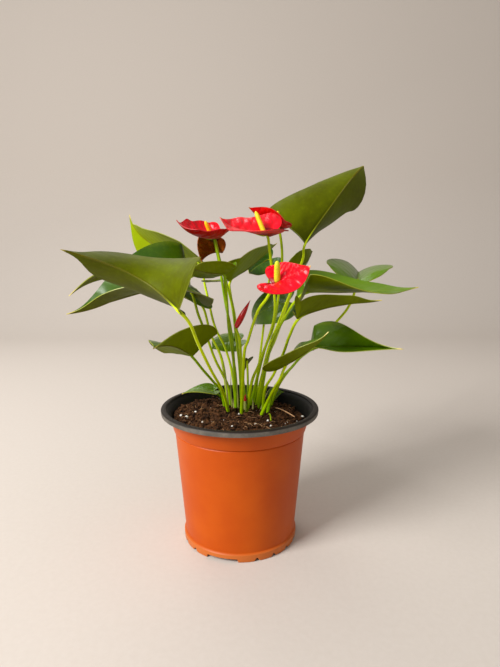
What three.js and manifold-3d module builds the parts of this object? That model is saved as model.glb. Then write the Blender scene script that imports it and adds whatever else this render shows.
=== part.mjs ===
// A potted flamingo flower: a thermoformed nursery pot, potting soil, heart-shaped leaves on long
// petioles, five open flowers on stalks and one closed bud. Millimetres, +Z up, origin at the middle
// of the pot's foot, on the surface it stands on. -Y is the side that the photograph shows.
import * as THREE from 'three';
import * as BufferGeometryUtils from 'three/addons/utils/BufferGeometryUtils.js';
import Module from 'manifold-3d';

const wasm = await Module();
wasm.setup();

// Pot: a standard 12 cm nursery pot
const RIM_RADIUS = 60;
const POT_HEIGHT = 103.6;
const LIP_HEIGHT = 4.2;
const LIP_WIDTH = 4.4;
const COLLAR_TOP_RADIUS = 53.2;
const COLLAR_BOTTOM_RADIUS = 50.4;
const COLLAR_BOTTOM_Z = 87;
const BODY_TOP_RADIUS = 49.5;
const BODY_BOTTOM_RADIUS = 42.6;
const FOOT_RADIUS = 44;
const FOOT_HEIGHT = 6;
const POT_WALL = 1.2;
const POT_SIDES = 36;

// Foot ring: three wide drain gaps, with four small notches between each pair of them
const DRAIN_GAPS = 3;
const DRAIN_GAP_AZIMUTH = -18;
const DRAIN_GAP_ANGLE = 31;
const DRAIN_GAP_HEIGHT = 3.4;
const NOTCHES_PER_SECTOR = 4;
const FIRST_NOTCH_ANGLE = 34;
const NOTCH_STEP_ANGLE = 18;
const NOTCH_WIDTH = 4;
const NOTCH_HEIGHT = 2.6;
const DRAIN_HOLES = 6;
const DRAIN_HOLE_RADIUS = 4.5;
const DRAIN_HOLE_CIRCLE = 27;

// Soil: a mounded fill that reaches up inside the pot
const SOIL_EDGE_Z = 94.6;
const SOIL_MOUND = 1.8;
const SOIL_TILT = 5;
const SOIL_TILT_BACK = 0.3;
const SOIL_RINGS = [0.8, 0.45];
const PLANT_Y = 18;
const CLEARANCE = 0.3;

// Stems: a petiole or a flower stalk, thicker in its sheath at the soil
const STEM_SIDES = 6;
const STEM_STEPS = 8;
const SHEATH_RADIUS = 1.7;
const SHEATH_LENGTH = 0.25;
const STALK_RADIUS = 1.1;

// Blades
const BLADE_THICKNESS = 1;
const SPATHE_THICKNESS = 0.9;
const BLADE_STEPS_ACROSS = 2;
const HOOK_START = 0.7;
const SHOULDER_AT = 0.75;
const SHOULDER_LENGTH = 0.15;
const LOBE_AT = -0.1;
const LOBE_LENGTH = 0.3;
const STALK_INSET = 1.6;
const SPADIX_INSET = 3.2;
const SEAT_GAP = 0.35;
const FINGER_SIDES = 8;
const BUD_GAP = 0.8;
const FINEST_DETAIL = 0.005;

// Half outline of a heart-shaped blade, from the notch at its petiole round the basal lobe to the
// tip: along in blade lengths, across in half widths, and the place on the midrib that it faces.
const HEART_OUTLINE = [
  [0, 0, 0], [-0.09, 0.15, 0], [-0.16, 0.40, 0], [-0.14, 0.70, 0.01], [-0.03, 0.92, 0.04],
  [0.09, 1, 0.10], [0.24, 0.94, 0.20], [0.41, 0.77, 0.33], [0.58, 0.55, 0.48],
  [0.75, 0.31, 0.66], [0.89, 0.10, 0.84], [1, 0, 1],
];
const SPATHE_OUTLINE = [
  [0, 0, 0], [-0.10, 0.16, 0], [-0.20, 0.42, 0], [-0.19, 0.72, 0.01], [-0.06, 0.94, 0.04],
  [0.12, 1, 0.10], [0.32, 0.93, 0.22], [0.52, 0.76, 0.38], [0.70, 0.52, 0.56],
  [0.85, 0.26, 0.75], [0.94, 0.08, 0.90], [1, 0, 1],
];

const COLOURS = {
  pot: { color: 0xd9622a, roughness: 0.42 },
  soil: { color: 0x3a2718, roughness: 0.95 },
  leaf: { color: 0x3f6a10, roughness: 0.35 },
  stem: { color: 0x8fae1a, roughness: 0.45 },
  spathe: { color: 0xe0202e, roughness: 0.25 },
  fadedSpathe: { color: 0x9a4c16, roughness: 0.6 },
  spadix: { color: 0xe2dc2c, roughness: 0.6 },
  fadedSpadix: { color: 0x6b4a1c, roughness: 0.7 },
};

const UP = new THREE.Vector3(0, 0, 1);
const rad = THREE.MathUtils.degToRad;
const vec = ([x, y, z]) => new THREE.Vector3(x, y, z);

// ---------- solids ----------

function signedVolume(geometry) {
  const place = geometry.getAttribute('position');
  const index = geometry.index;
  const [a, b, c] = [new THREE.Vector3(), new THREE.Vector3(), new THREE.Vector3()];
  let sum = 0;
  for (let i = 0; i < index.count; i += 3) {
    a.fromBufferAttribute(place, index.getX(i));
    b.fromBufferAttribute(place, index.getX(i + 1));
    c.fromBufferAttribute(place, index.getX(i + 2));
    sum += a.dot(b.cross(c));
  }
  return sum / 6;
}

function welded(geometry) {
  const bare = new THREE.BufferGeometry();
  bare.setAttribute('position', geometry.getAttribute('position').clone());
  if (geometry.index) bare.setIndex(geometry.index.clone());
  const merged = BufferGeometryUtils.mergeVertices(bare, 1e-3);
  const kept = [];
  for (let i = 0; i < merged.index.count; i += 3) {
    const corner = [0, 1, 2].map((k) => merged.index.getX(i + k));
    if (new Set(corner).size === 3) kept.push(...corner);
  }
  merged.setIndex(kept);
  if (signedVolume(merged) < 0) merged.setIndex(kept.reverse());
  return merged;
}

function toSolid(geometry) {
  const merged = welded(geometry);
  return new wasm.Manifold(new wasm.Mesh({
    numProp: 3,
    vertProperties: new Float32Array(merged.getAttribute('position').array),
    triVerts: new Uint32Array(merged.index.array),
  }));
}

function toGeometry(solid) {
  const mesh = solid.getMesh();
  const geometry = new THREE.BufferGeometry();
  geometry.setAttribute('position', new THREE.BufferAttribute(mesh.vertProperties, mesh.numProp));
  geometry.setIndex(new THREE.BufferAttribute(mesh.triVerts, 1));
  return geometry;
}

// A cut can leave a crumb beyond the cutting piece: the body of the piece is the largest solid.
function body(solid) {
  return solid.decompose().reduce((a, b) => (a.volume() > b.volume() ? a : b));
}

function piece(name, solid, finish) {
  const mesh = new THREE.Mesh(
    toGeometry(solid),
    new THREE.MeshStandardMaterial({ ...COLOURS[finish], metalness: 0 }),
  );
  mesh.name = name;
  return mesh;
}

function turned(profile, sides) {
  const lathe = new THREE.LatheGeometry(profile.map(([r, z]) => new THREE.Vector2(r, z)), sides);
  return lathe.rotateX(Math.PI / 2);
}

// ---------- pot ----------

function potShell() {
  const floor = FOOT_HEIGHT + 0.4;
  const lipBottom = POT_HEIGHT - LIP_HEIGHT;
  const profile = [
    [0, floor], [BODY_BOTTOM_RADIUS - POT_WALL, floor],
    [FOOT_RADIUS - POT_WALL, FOOT_HEIGHT - 1.2], [FOOT_RADIUS - POT_WALL - 0.3, 0],
    [FOOT_RADIUS - 0.3, 0], [FOOT_RADIUS, FOOT_HEIGHT - 1], [BODY_BOTTOM_RADIUS, FOOT_HEIGHT],
    [BODY_TOP_RADIUS, COLLAR_BOTTOM_Z - 0.6], [COLLAR_BOTTOM_RADIUS, COLLAR_BOTTOM_Z],
    [COLLAR_TOP_RADIUS, lipBottom], [RIM_RADIUS - 0.6, lipBottom], [RIM_RADIUS, lipBottom + 0.8],
    [RIM_RADIUS, POT_HEIGHT - 1], [RIM_RADIUS - 1, POT_HEIGHT],
    [RIM_RADIUS - LIP_WIDTH + 0.8, POT_HEIGHT], [RIM_RADIUS - LIP_WIDTH, POT_HEIGHT - 0.8],
    ...innerWall().reverse(),
    [0, floor + POT_WALL],
  ];
  return toSolid(turned(profile, POT_SIDES));
}

// The inside of the wall from the floor to the lip, which the soil follows
function innerWall() {
  return [
    [BODY_BOTTOM_RADIUS - POT_WALL, FOOT_HEIGHT + 0.4 + POT_WALL],
    [BODY_TOP_RADIUS - POT_WALL, COLLAR_BOTTOM_Z - 0.6],
    [COLLAR_BOTTOM_RADIUS - POT_WALL, COLLAR_BOTTOM_Z],
    [COLLAR_TOP_RADIUS - POT_WALL + 0.4, POT_HEIGHT - LIP_HEIGHT],
  ];
}

// A wedge that points up, standing radially across the foot ring
function notchCutter(azimuth) {
  const half = NOTCH_WIDTH / 2;
  const outline = new THREE.Shape([
    new THREE.Vector2(-half, -1), new THREE.Vector2(half, -1),
    new THREE.Vector2(half, 0), new THREE.Vector2(0, NOTCH_HEIGHT), new THREE.Vector2(-half, 0),
  ]);
  const wedge = new THREE.ExtrudeGeometry(outline, { depth: 8, bevelEnabled: false });
  wedge.translate(0, 0, -4).rotateX(Math.PI / 2).translate(0, -FOOT_RADIUS, 0);
  return toSolid(wedge.rotateZ(rad(azimuth)));
}

function drainGapCutter(azimuth) {
  const outline = new THREE.Shape();
  const [start, end] = [-DRAIN_GAP_ANGLE / 2 - 90, DRAIN_GAP_ANGLE / 2 - 90].map(rad);
  outline.absarc(0, 0, FOOT_RADIUS + 4, start, end, false);
  outline.absarc(0, 0, FOOT_RADIUS - 4, end, start, true);
  const options = { depth: DRAIN_GAP_HEIGHT + 1, bevelEnabled: false, curveSegments: 6 };
  const gap = new THREE.ExtrudeGeometry(outline, options);
  return toSolid(gap.translate(0, 0, -1).rotateZ(rad(azimuth)));
}

function drainHoleCutter(azimuth) {
  const hole = new THREE.CylinderGeometry(DRAIN_HOLE_RADIUS, DRAIN_HOLE_RADIUS, 6, 12);
  hole.rotateX(Math.PI / 2).translate(0, -DRAIN_HOLE_CIRCLE, FOOT_HEIGHT + 1);
  return toSolid(hole.rotateZ(rad(azimuth)));
}

function makePot() {
  let pot = potShell();
  for (let gap = 0; gap < DRAIN_GAPS; gap += 1) {
    const azimuth = DRAIN_GAP_AZIMUTH + (gap * 360) / DRAIN_GAPS;
    pot = pot.subtract(drainGapCutter(azimuth));
    for (let notch = 0; notch < NOTCHES_PER_SECTOR; notch += 1) {
      pot = pot.subtract(notchCutter(azimuth + FIRST_NOTCH_ANGLE + notch * NOTCH_STEP_ANGLE));
    }
  }
  for (let hole = 0; hole < DRAIN_HOLES; hole += 1) {
    pot = pot.subtract(drainHoleCutter((hole * 360) / DRAIN_HOLES));
  }
  return pot;
}

// ---------- soil ----------

function soilHeight(x, y) {
  const edge = COLLAR_TOP_RADIUS - POT_WALL;
  const inward = 1 - Math.min(1, Math.hypot(x, y - PLANT_Y / 2) / edge) ** 2;
  return SOIL_EDGE_Z + SOIL_MOUND * inward - (SOIL_TILT * (x + SOIL_TILT_BACK * y)) / (2 * edge);
}

function makeSoil(stems) {
  const wall = innerWall().slice(0, 3).map(([r, z]) => [r - CLEARANCE, z + CLEARANCE / 2]);
  const edge = COLLAR_BOTTOM_RADIUS - POT_WALL - CLEARANCE;
  const profile = [
    [0, wall[0][1] + CLEARANCE], [wall[0][0], wall[0][1] + CLEARANCE], ...wall.slice(1),
    [edge + 1, SOIL_EDGE_Z], ...SOIL_RINGS.map((part) => [edge * part, SOIL_EDGE_Z]), [0, SOIL_EDGE_Z],
  ];
  const fill = turned(profile, POT_SIDES);
  const place = fill.getAttribute('position');
  for (let i = 0; i < place.count; i += 1) {
    if (Math.abs(place.getZ(i) - SOIL_EDGE_Z) < 0.01) {
      place.setZ(i, soilHeight(place.getX(i), place.getY(i)));
    }
  }
  return stems.reduce((soil, stem) => soil.subtract(stemSolid(stem, CLEARANCE)), toSolid(fill));
}

// ---------- stems ----------

function stemSection(radius) {
  const section = new THREE.Shape();
  for (let side = 0; side < STEM_SIDES; side += 1) {
    const angle = (side * 2 * Math.PI) / STEM_SIDES;
    const corner = [radius * Math.cos(angle), radius * Math.sin(angle)];
    if (side === 0) section.moveTo(...corner);
    else section.lineTo(...corner);
  }
  return section;
}

// A stalk that widens into its sheath at the foot; grow widens all of it, to cut its pocket
function stemSolid({ path, radius }, grow) {
  const points = path.map(vec);
  const down = points[0].clone().sub(points[1]).normalize();
  points[0].addScaledVector(down, grow);
  const curve = new THREE.CatmullRomCurve3(points);
  const options = { steps: STEM_STEPS, extrudePath: curve, bevelEnabled: false };
  const stem = new THREE.ExtrudeGeometry(stemSection(radius), options);
  const centres = curve.getSpacedPoints(STEM_STEPS);
  const place = stem.getAttribute('position');
  const point = new THREE.Vector3();
  for (let i = 0; i < place.count; i += 1) {
    point.fromBufferAttribute(place, i);
    const distances = centres.map((centre) => centre.distanceTo(point));
    const layer = distances.indexOf(Math.min(...distances));
    const sheath = Math.max(0, 1 - layer / STEM_STEPS / SHEATH_LENGTH);
    const girth = radius + grow + (SHEATH_RADIUS - radius) * sheath;
    point.sub(centres[layer]).setLength(girth).add(centres[layer]);
    place.setXYZ(i, point.x, point.y, point.z);
  }
  return toSolid(stem);
}

// ---------- blades ----------

// A blade's own directions: along its midrib, up from its face, and across
function bladeFrame({ base, tip, roll }) {
  const along = vec(tip).sub(vec(base));
  const length = along.length();
  along.normalize();
  const level = UP.clone().addScaledVector(along, -UP.dot(along)).normalize();
  const side = level.clone().cross(along);
  const face = level.multiplyScalar(Math.cos(rad(roll))).addScaledVector(side, Math.sin(rad(roll)));
  return { length, along, face, sideways: face.clone().cross(along) };
}

// A point of the blade's middle sheet: x along in blade lengths, y across in half widths
function bladePoint(blade, frame, x, y) {
  const { length, along, face, sideways } = frame;
  const ahead = Math.max(x, 0);
  const bent = face.clone().multiplyScalar(blade.arch).addScaledVector(sideways, blade.bow);
  const hooked = Math.max(0, (ahead - HOOK_START) / (1 - HOOK_START));
  const drop = (2 * blade.hook * hooked) / (1 - HOOK_START);
  const tangent = along.clone().multiplyScalar(length).addScaledVector(bent, 4 - 8 * ahead);
  tangent.addScaledVector(face, -drop).normalize();
  const normal = face.clone().addScaledVector(tangent, -face.dot(tangent)).normalize();
  const point = vec(blade.base);
  if (x < 0) {
    point.addScaledVector(tangent, length * x * Math.cos(rad(blade.lift)));
    point.addScaledVector(normal, -length * x * Math.sin(rad(blade.lift)));
  } else {
    point.addScaledVector(along, length * x).addScaledVector(bent, 4 * x * (1 - x));
    point.addScaledVector(face, -blade.hook * hooked ** 2);
  }
  normal.applyAxisAngle(tangent, -rad(blade.twist) * ahead);
  const across = normal.clone().cross(tangent);
  const bend = rad(blade.fold + blade.open * ahead + (blade.curl * Math.abs(y)) / 2);
  point.addScaledVector(across, (y * blade.width * Math.cos(bend)) / 2);
  return point.addScaledVector(normal, (Math.abs(y) * blade.width * Math.sin(bend)) / 2);
}

// How much wider than the plain outline a blade is at a place along it
function fuller(blade, x) {
  const along = Math.min(Math.max(x, 0), 1);
  const shoulder = Math.exp(-(((x - SHOULDER_AT) / SHOULDER_LENGTH) ** 2));
  return 1 + blade.full * 4 * along * (1 - along) + blade.shoulder * shoulder;
}

// How much of the plain basal lobe a blade has on one of its sides
function lobeKept(blade, x, side) {
  const near = Math.exp(-(((x - LOBE_AT) / LOBE_LENGTH) ** 2));
  return 1 - blade.lobes[side > 0 ? 1 : 0] * near;
}

function bladeSheet(blade, outline) {
  const frame = bladeFrame(blade);
  const points = [];
  for (const [x, y, rib] of outline) {
    for (let step = -BLADE_STEPS_ACROSS; step <= BLADE_STEPS_ACROSS; step += 1) {
      const out = Math.abs(step) / BLADE_STEPS_ACROSS;
      const kept = lobeKept(blade, x, step);
      const along = rib * (1 - out) + (x < 0 ? x * kept * blade.back : x) * out;
      const across = (y * fuller(blade, x) * kept * step) / BLADE_STEPS_ACROSS;
      points.push(...bladePoint(blade, frame, along, across).toArray());
    }
  }
  const columns = 2 * BLADE_STEPS_ACROSS + 1;
  const index = [];
  for (let row = 0; row < outline.length - 1; row += 1) {
    for (let column = 0; column < columns - 1; column += 1) {
      const corner = row * columns + column;
      const [right, above] = [corner + 1, corner + columns];
      if (column < BLADE_STEPS_ACROSS) index.push(corner, right, above, right, above + 1, above);
      else index.push(corner, right, above + 1, corner, above + 1, above);
    }
  }
  const sheet = new THREE.BufferGeometry();
  sheet.setAttribute('position', new THREE.Float32BufferAttribute(points, 3));
  sheet.setIndex(index);
  return withoutSlivers(BufferGeometryUtils.mergeVertices(sheet, 1e-3));
}

function withoutSlivers(sheet) {
  const place = sheet.getAttribute('position');
  const triangle = new THREE.Triangle();
  const kept = [];
  for (let i = 0; i < sheet.index.count; i += 3) {
    const corners = [0, 1, 2].map((k) => sheet.index.getX(i + k));
    triangle.setFromAttributeAndIndices(place, ...corners);
    if (triangle.getArea() > 1e-3) kept.push(...corners);
  }
  sheet.setIndex(kept);
  return sheet;
}

// The sheet given a thickness: its two faces and a narrow wall along its margin
function thickened(sheet, thickness) {
  sheet.computeVertexNormals();
  const place = sheet.getAttribute('position');
  const normal = sheet.getAttribute('normal');
  const corners = Array.from(sheet.index.array);
  const points = [];
  for (const side of [0.5, -0.5]) {
    for (let i = 0; i < place.count; i += 1) {
      const point = new THREE.Vector3().fromBufferAttribute(place, i);
      const up = new THREE.Vector3().fromBufferAttribute(normal, i);
      points.push(...point.addScaledVector(up, side * thickness).toArray());
    }
  }
  const index = [...corners];
  for (let i = 0; i < corners.length; i += 3) {
    const [a, b, c] = corners.slice(i, i + 3).map((corner) => corner + place.count);
    index.push(a, c, b);
  }
  const edges = new Set();
  for (let i = 0; i < corners.length; i += 3) {
    for (let k = 0; k < 3; k += 1) edges.add(`${corners[i + k]},${corners[i + ((k + 1) % 3)]}`);
  }
  for (const edge of edges) {
    const [a, b] = edge.split(',').map(Number);
    if (!edges.has(`${b},${a}`)) {
      index.push(a, a + place.count, b, b, a + place.count, b + place.count);
    }
  }
  const solid = new THREE.BufferGeometry();
  solid.setAttribute('position', new THREE.Float32BufferAttribute(points, 3));
  solid.setIndex(index);
  return toSolid(solid);
}

const leafSolid = (leaf) => thickened(bladeSheet(leaf, HEART_OUTLINE), BLADE_THICKNESS);
const spatheSolid = (spathe) => thickened(bladeSheet(spathe, SPATHE_OUTLINE), SPATHE_THICKNESS);

// ---------- the plant ----------

// Each leaf: where its blade joins the petiole, its tip, its width, and how the blade is set: roll
// about its length, arch and sideways bow of the midrib, fold of the halves at it and how far they
// open towards the tip, curl of the margins, twist and hook of the tip, lift of the basal lobes,
// how full it is at its middle and at its shoulder, how much smaller its two basal lobes are, and how
// far back they reach.
// The petiole lists the points it passes.
const LEAVES = [
  {
    name: 'leaf_front_left', base: [-34, -92, 187], tip: [-101, -83, 221], width: 61,
    roll: -51, arch: 17.8, fold: 22, open: 41, curl: 39, twist: -80,
    hook: 0, lift: -25, bow: -12.2, full: 0.04, shoulder: 0.8, lobes: [0.9, 0], back: 1,
    petiole: [[-8, 8, 88], [-12, -7, 114], [-20, -33, 139], [-26, -60, 162], [-29, -84, 179]],
  },
  {
    name: 'leaf_back_left', base: [-33, 50, 211], tip: [-103, 95, 248], width: 73,
    roll: -30, arch: -6.1, fold: -4, open: -25, curl: 5, twist: -38,
    hook: -6.1, lift: -19, bow: -2, full: 0.14, shoulder: 0.3, lobes: [0.8, 0], back: 1,
    petiole: [[-3, 34, 88], [-6, 35, 118], [-12, 40, 140], [-21, 43, 159], [-28, 49, 188]],
  },
  {
    name: 'leaf_upper_left', base: [-37, -2, 194], tip: [-117, -26, 171], width: 71,
    roll: 42, arch: 10.8, fold: 25, open: 23, curl: 7, twist: -45,
    hook: -9.8, lift: -54, bow: 1, full: 0.05, shoulder: 0, lobes: [0, 0], back: 1,
    petiole: [[-8, 21, 88], [-9, 17, 112], [-19, 9, 137], [-24, 2, 154], [-30, -5, 173]],
  },
  {
    name: 'leaf_outer_left', base: [-33, 21, 190], tip: [-127, 4, 185], width: 43,
    roll: 0, arch: 22.4, fold: -10, open: 12, curl: -41, twist: -22,
    hook: -2, lift: 0, bow: 2, full: 0.11, shoulder: 0.4, lobes: [0, 0], back: 1,
    petiole: [[-9, 28, 88], [-14, 24, 132], [-23, 25, 154], [-28, 24, 174], [-34, 26, 183]],
  },
  {
    name: 'leaf_centre_left', base: [-10, -20, 204], tip: [-29, -63, 210], width: 25,
    roll: -20, arch: 1, fold: 9, open: 18, curl: -2, twist: -30,
    hook: 0, lift: 49, bow: -3.9, full: 0.06, shoulder: 0.2, lobes: [0, 0], back: 1,
    petiole: [[-3, 12, 88], [-4, 8, 129], [-8, -2, 162], [-9, -9, 182], [-10, -18, 197]],
  },
  {
    name: 'leaf_centre_back', base: [-8, 23, 197], tip: [33, 81, 228], width: 52,
    roll: 28, arch: -2, fold: 22, open: -20, curl: 1, twist: 22,
    hook: 1, lift: 28, bow: 0, full: 0.07, shoulder: 0.2, lobes: [0, 0], back: 1,
    petiole: [[1, 30, 88], [1, 28, 120], [-1, 26, 146], [-4, 25, 170], [-7, 24, 186]],
  },
  {
    name: 'leaf_top_right', base: [50, 17, 226], tip: [115, 108, 298], width: 79,
    roll: 80, arch: -6.2, fold: 19, open: 1, curl: 80, twist: 80,
    hook: 0, lift: -80, bow: -11.4, full: -0.12, shoulder: 1.1, lobes: [0, 0.9], back: 0.15,
    petiole: [[12, 22, 88], [22, 17, 141], [31, 19, 165], [42, 19, 194], [49, 19, 214]],
  },
  {
    name: 'leaf_behind_flower', base: [46, 35, 205], tip: [61, 70, 221], width: 26,
    roll: 65, arch: -4, fold: 26, open: -25, curl: 12, twist: 21,
    hook: 3, lift: 14, bow: -3, full: 0.02, shoulder: 0.1, lobes: [0, 0], back: 1,
    petiole: [[18, 31, 88], [20, 32, 123], [27, 33, 144], [36, 34, 169], [43, 35, 190]],
  },
  {
    name: 'leaf_behind_centre', base: [29, 93, 213], tip: [8, 66, 200], width: 28,
    roll: 32, arch: -2.2, fold: 18, open: -22, curl: 1, twist: 25,
    hook: -1.1, lift: 19, bow: -3.3, full: 0.15, shoulder: 0.3, lobes: [0, 0], back: 1,
    petiole: [[11, 34, 88], [16, 38, 125], [22, 66, 162], [28, 93, 200]],
  },
  {
    name: 'leaf_back_right', base: [92, 19, 196], tip: [108, 84, 202], width: 54,
    roll: -3, arch: 2, fold: 45, open: -4, curl: -35, twist: -9,
    hook: 3, lift: -12, bow: 0, full: 0.14, shoulder: 0.2, lobes: [0, 0], back: 1,
    petiole: [[23, 25, 88], [33, 24, 115], [53, 23, 140], [77, 21, 165], [87, 20, 179]],
  },
  {
    name: 'leaf_right_upper', base: [48, -11, 191], tip: [126, -21, 194], width: 54,
    roll: -1, arch: -1, fold: 22, open: -31, curl: 22, twist: -14,
    hook: -1, lift: -64, bow: 2, full: 0.06, shoulder: 0.3, lobes: [0, 0], back: 1,
    petiole: [[14, 17, 88], [21, 6, 136], [27, -1, 158], [35, -7, 175], [41, -11, 185]],
  },
  {
    name: 'leaf_right_middle', base: [38, -45, 176], tip: [98, -30, 184], width: 32,
    roll: -6, arch: 2.9, fold: 45, open: -36, curl: 36, twist: 42,
    hook: -2.9, lift: 79, bow: 5.9, full: -0.11, shoulder: 0.3, lobes: [0, 0.7], back: 1,
    petiole: [[18, 9, 88], [19, -1, 115], [25, -11, 130], [31, -24, 149], [34, -35, 163]],
  },
  {
    name: 'leaf_right_lower', base: [57, 1, 148], tip: [112, -38, 154], width: 35,
    roll: -38, arch: -4, fold: 45, open: 35, curl: -11, twist: -50,
    hook: 0, lift: -70, bow: 5, full: 0.25, shoulder: 0, lobes: [0.7, 0], back: 1,
    petiole: [[20, 4, 88], [25, 3, 112], [32, 2, 124], [40, 1, 133], [47, 1, 141]],
  },
  {
    name: 'leaf_right_small', base: [32, -23, 139], tip: [58, -59, 167], width: 35,
    roll: -17, arch: 0, fold: 25, open: 5, curl: 1, twist: 1,
    hook: -3, lift: -9, bow: -5, full: 0.07, shoulder: 0.3, lobes: [0, 0], back: 1,
    petiole: [[13, -1, 88], [24, -10, 116], [29, -20, 129]],
  },
  {
    name: 'leaf_left_small', base: [-34, -17, 145], tip: [-52, -75, 162], width: 51,
    roll: -22, arch: 5, fold: 33, open: 0, curl: -13, twist: 6,
    hook: 0, lift: 52, bow: 0, full: 0.08, shoulder: 0.1, lobes: [0, 0], back: 1,
    petiole: [[-11, 16, 88], [-14, 7, 111], [-20, -1, 122], [-27, -9, 133]],
  },
  {
    name: 'leaf_back_low', base: [0, 58, 143], tip: [-24, 42, 138], width: 24,
    roll: 14, arch: 1, fold: 22, open: -25, curl: -30, twist: 25,
    hook: -1, lift: 23, bow: -3, full: 0.4, shoulder: 0.5, lobes: [0, 0], back: 1,
    petiole: [[5, 38, 88], [2, 47, 119]],
  },
  {
    name: 'leaf_centre_right', base: [40, 46, 178], tip: [13, 80, 153], width: 32,
    roll: 79, arch: 11.1, fold: 2, open: 0, curl: 4, twist: 19,
    hook: 2, lift: 15, bow: 0, full: 0, shoulder: 0, lobes: [0, 0], back: 1,
    petiole: [[12, 40, 88], [22, 41, 128], [30, 43, 147], [36, 46, 164]],
  },
  {
    name: 'leaf_back_small', base: [7, 56, 127], tip: [3, 60, 112], width: 15,
    roll: 0, arch: 2, fold: 5, open: 0, curl: 0, twist: 0,
    hook: 0, lift: 0, bow: 0, full: 0, shoulder: 0, lobes: [0, 0], back: 1,
    petiole: [[7, 42, 88], [7, 48, 106]],
  },
  {
    name: 'leaf_left_on_rim', base: [-21, 22, 108], tip: [-47, 22, 106], width: 18,
    roll: 14, arch: 3, fold: 8, open: 0, curl: 8, twist: -12,
    hook: 0, lift: 40, bow: 1, full: 0.1, shoulder: 0.1, lobes: [0, 0], back: 1,
    petiole: [[-12, 33, 88], [-15, 27, 101]],
  },
  {
    name: 'leaf_right_on_soil', base: [25, 38, 99], tip: [37, 34, 104], width: 14,
    roll: -50, arch: 2, fold: -5, open: 0, curl: 0, twist: 0,
    hook: 1, lift: 0, bow: 0, full: 0, shoulder: 0, lobes: [0, 0], back: 1,
    petiole: [[24, 39, 88]],
  },
];

// Each flower: its spathe as a small blade, its spadix, and the points its stalk passes
const FLOWERS = [
  {
    name: 'flower_left', base: [-16, -5, 229], tip: [-43, -22, 240], width: 34,
    roll: 12, arch: -3.9, fold: 10, open: -7, curl: 45, twist: 12,
    hook: -1, lift: 33, bow: 0, full: 0.13, shoulder: 0.6, lobes: [0, 0], back: 1, finish: 'spathe',
    spadix: { tip: [-24, -11, 241], radius: 1.5, finish: 'spadix' },
    stalk: [[2, 22, 88], [0, 18, 127], [-3, 10, 157], [-6, 3, 182], [-14, -7, 213]],
  },
  {
    name: 'flower_centre', base: [21, -22, 230], tip: [-14, -21, 240], width: 49,
    roll: 17, arch: -1, fold: 38, open: -30, curl: -22, twist: 2,
    hook: -3, lift: 9, bow: 1, full: -0.1, shoulder: 0.6, lobes: [0, 0], back: 1, finish: 'spathe',
    spadix: { tip: [11, -20, 247], radius: 1.7, finish: 'spadix' },
    stalk: [[5, 8, 88], [9, 5, 119], [15, 2, 136], [25, -5, 169], [25, -10, 192], [21, -16, 222]],
  },
  {
    name: 'flower_back', base: [31, 6, 236], tip: [7, 8, 252], width: 28,
    roll: -14, arch: -1, fold: 12, open: 20, curl: -2, twist: -25,
    hook: 0, lift: 21, bow: 0, full: 0.08, shoulder: 0, lobes: [0, 0], back: 1, finish: 'spathe',
    spadix: { tip: [28, 2, 249], radius: 1.5, finish: 'spadix' },
    stalk: [[7, 24, 88], [19, 20, 140], [27, 13, 166], [32, 8, 212]],
  },
  {
    name: 'flower_front', base: [22, -43, 199], tip: [46, -50, 210], width: 33,
    roll: -27, arch: 1, fold: 30, open: -44, curl: -25, twist: -31,
    hook: -1, lift: 40, bow: -2, full: 0.07, shoulder: 0, lobes: [0, 0], back: 1, finish: 'spathe',
    spadix: { tip: [24, -50, 214], radius: 2.1, finish: 'spadix' },
    stalk: [[1, 4, 88], [3, -16, 144], [6, -23, 158], [12, -34, 179], [18, -40, 189]],
  },
  {
    name: 'flower_faded', base: [-18, 12, 231], tip: [-29, 14, 212], width: 26,
    roll: 125, arch: -4, fold: 14, open: -13, curl: 27, twist: 40,
    hook: -1, lift: -18, bow: -2, full: 0.08, shoulder: 0, lobes: [0, 0], back: 1, finish: 'fadedSpathe',
    spadix: { tip: [-13, 20, 222], radius: 1.3, finish: 'fadedSpadix' },
    stalk: [[-3, 28, 88], [-6, 22, 150], [-11, 16, 181], [-16, 12, 215]],
  },
];

// A flower that hasn't opened: its spathe is still rolled round the spadix
const BUD = {
  base: [-3, -6, 164], tip: [8, -6, 185], radius: 2.3, stalk: [[3, 13, 88], [1, 2, 139], [0, -3, 155]],
};

// The place on the midrib where a stalk ends or a spadix starts, just past the notch of the blade
function seat(blade, inset) {
  const frame = bladeFrame(blade);
  return bladePoint(blade, frame, inset / frame.length, 0).toArray();
}

function stemOf(blade, path) {
  return { path: [...path, seat(blade, STALK_INSET)], radius: STALK_RADIUS };
}

// A body of revolution with a round end, standing on base and pointing to tip
function finger(base, tip, radius, taper) {
  const axis = vec(tip).sub(vec(base));
  const length = axis.length();
  const profile = [[0, 0], [radius * 0.8, 0]];
  for (const [part, width] of taper) profile.push([radius * width, length * part]);
  profile.push([0, length]);
  const solid = turned(profile, FINGER_SIDES);
  solid.applyQuaternion(new THREE.Quaternion().setFromUnitVectors(UP, axis.normalize()));
  return toSolid(solid.translate(...base));
}

const SPADIX_TAPER = [[0.15, 1], [0.6, 0.95], [0.88, 0.75], [0.96, 0.5]];
const BUD_TAPER = [[0.15, 0.95], [0.35, 1], [0.6, 0.75], [0.85, 0.35]];

const NUDGES = [[0, 0, 0], [1, 0, 0], [-1, 0, 0], [0, 1, 0], [0, -1, 0], [0, 0, 1], [0, 0, -1]];

// What carries a blade or stands on it, cut back until it only just clears the blade on all sides
function clearOf(solid, blade) {
  const moved = NUDGES.map((nudge) => blade.translate(nudge.map((part) => part * SEAT_GAP)));
  const rest = solid.subtract(wasm.Manifold.union(moved));
  return body(rest.asOriginal().simplify(FINEST_DETAIL));
}

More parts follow.
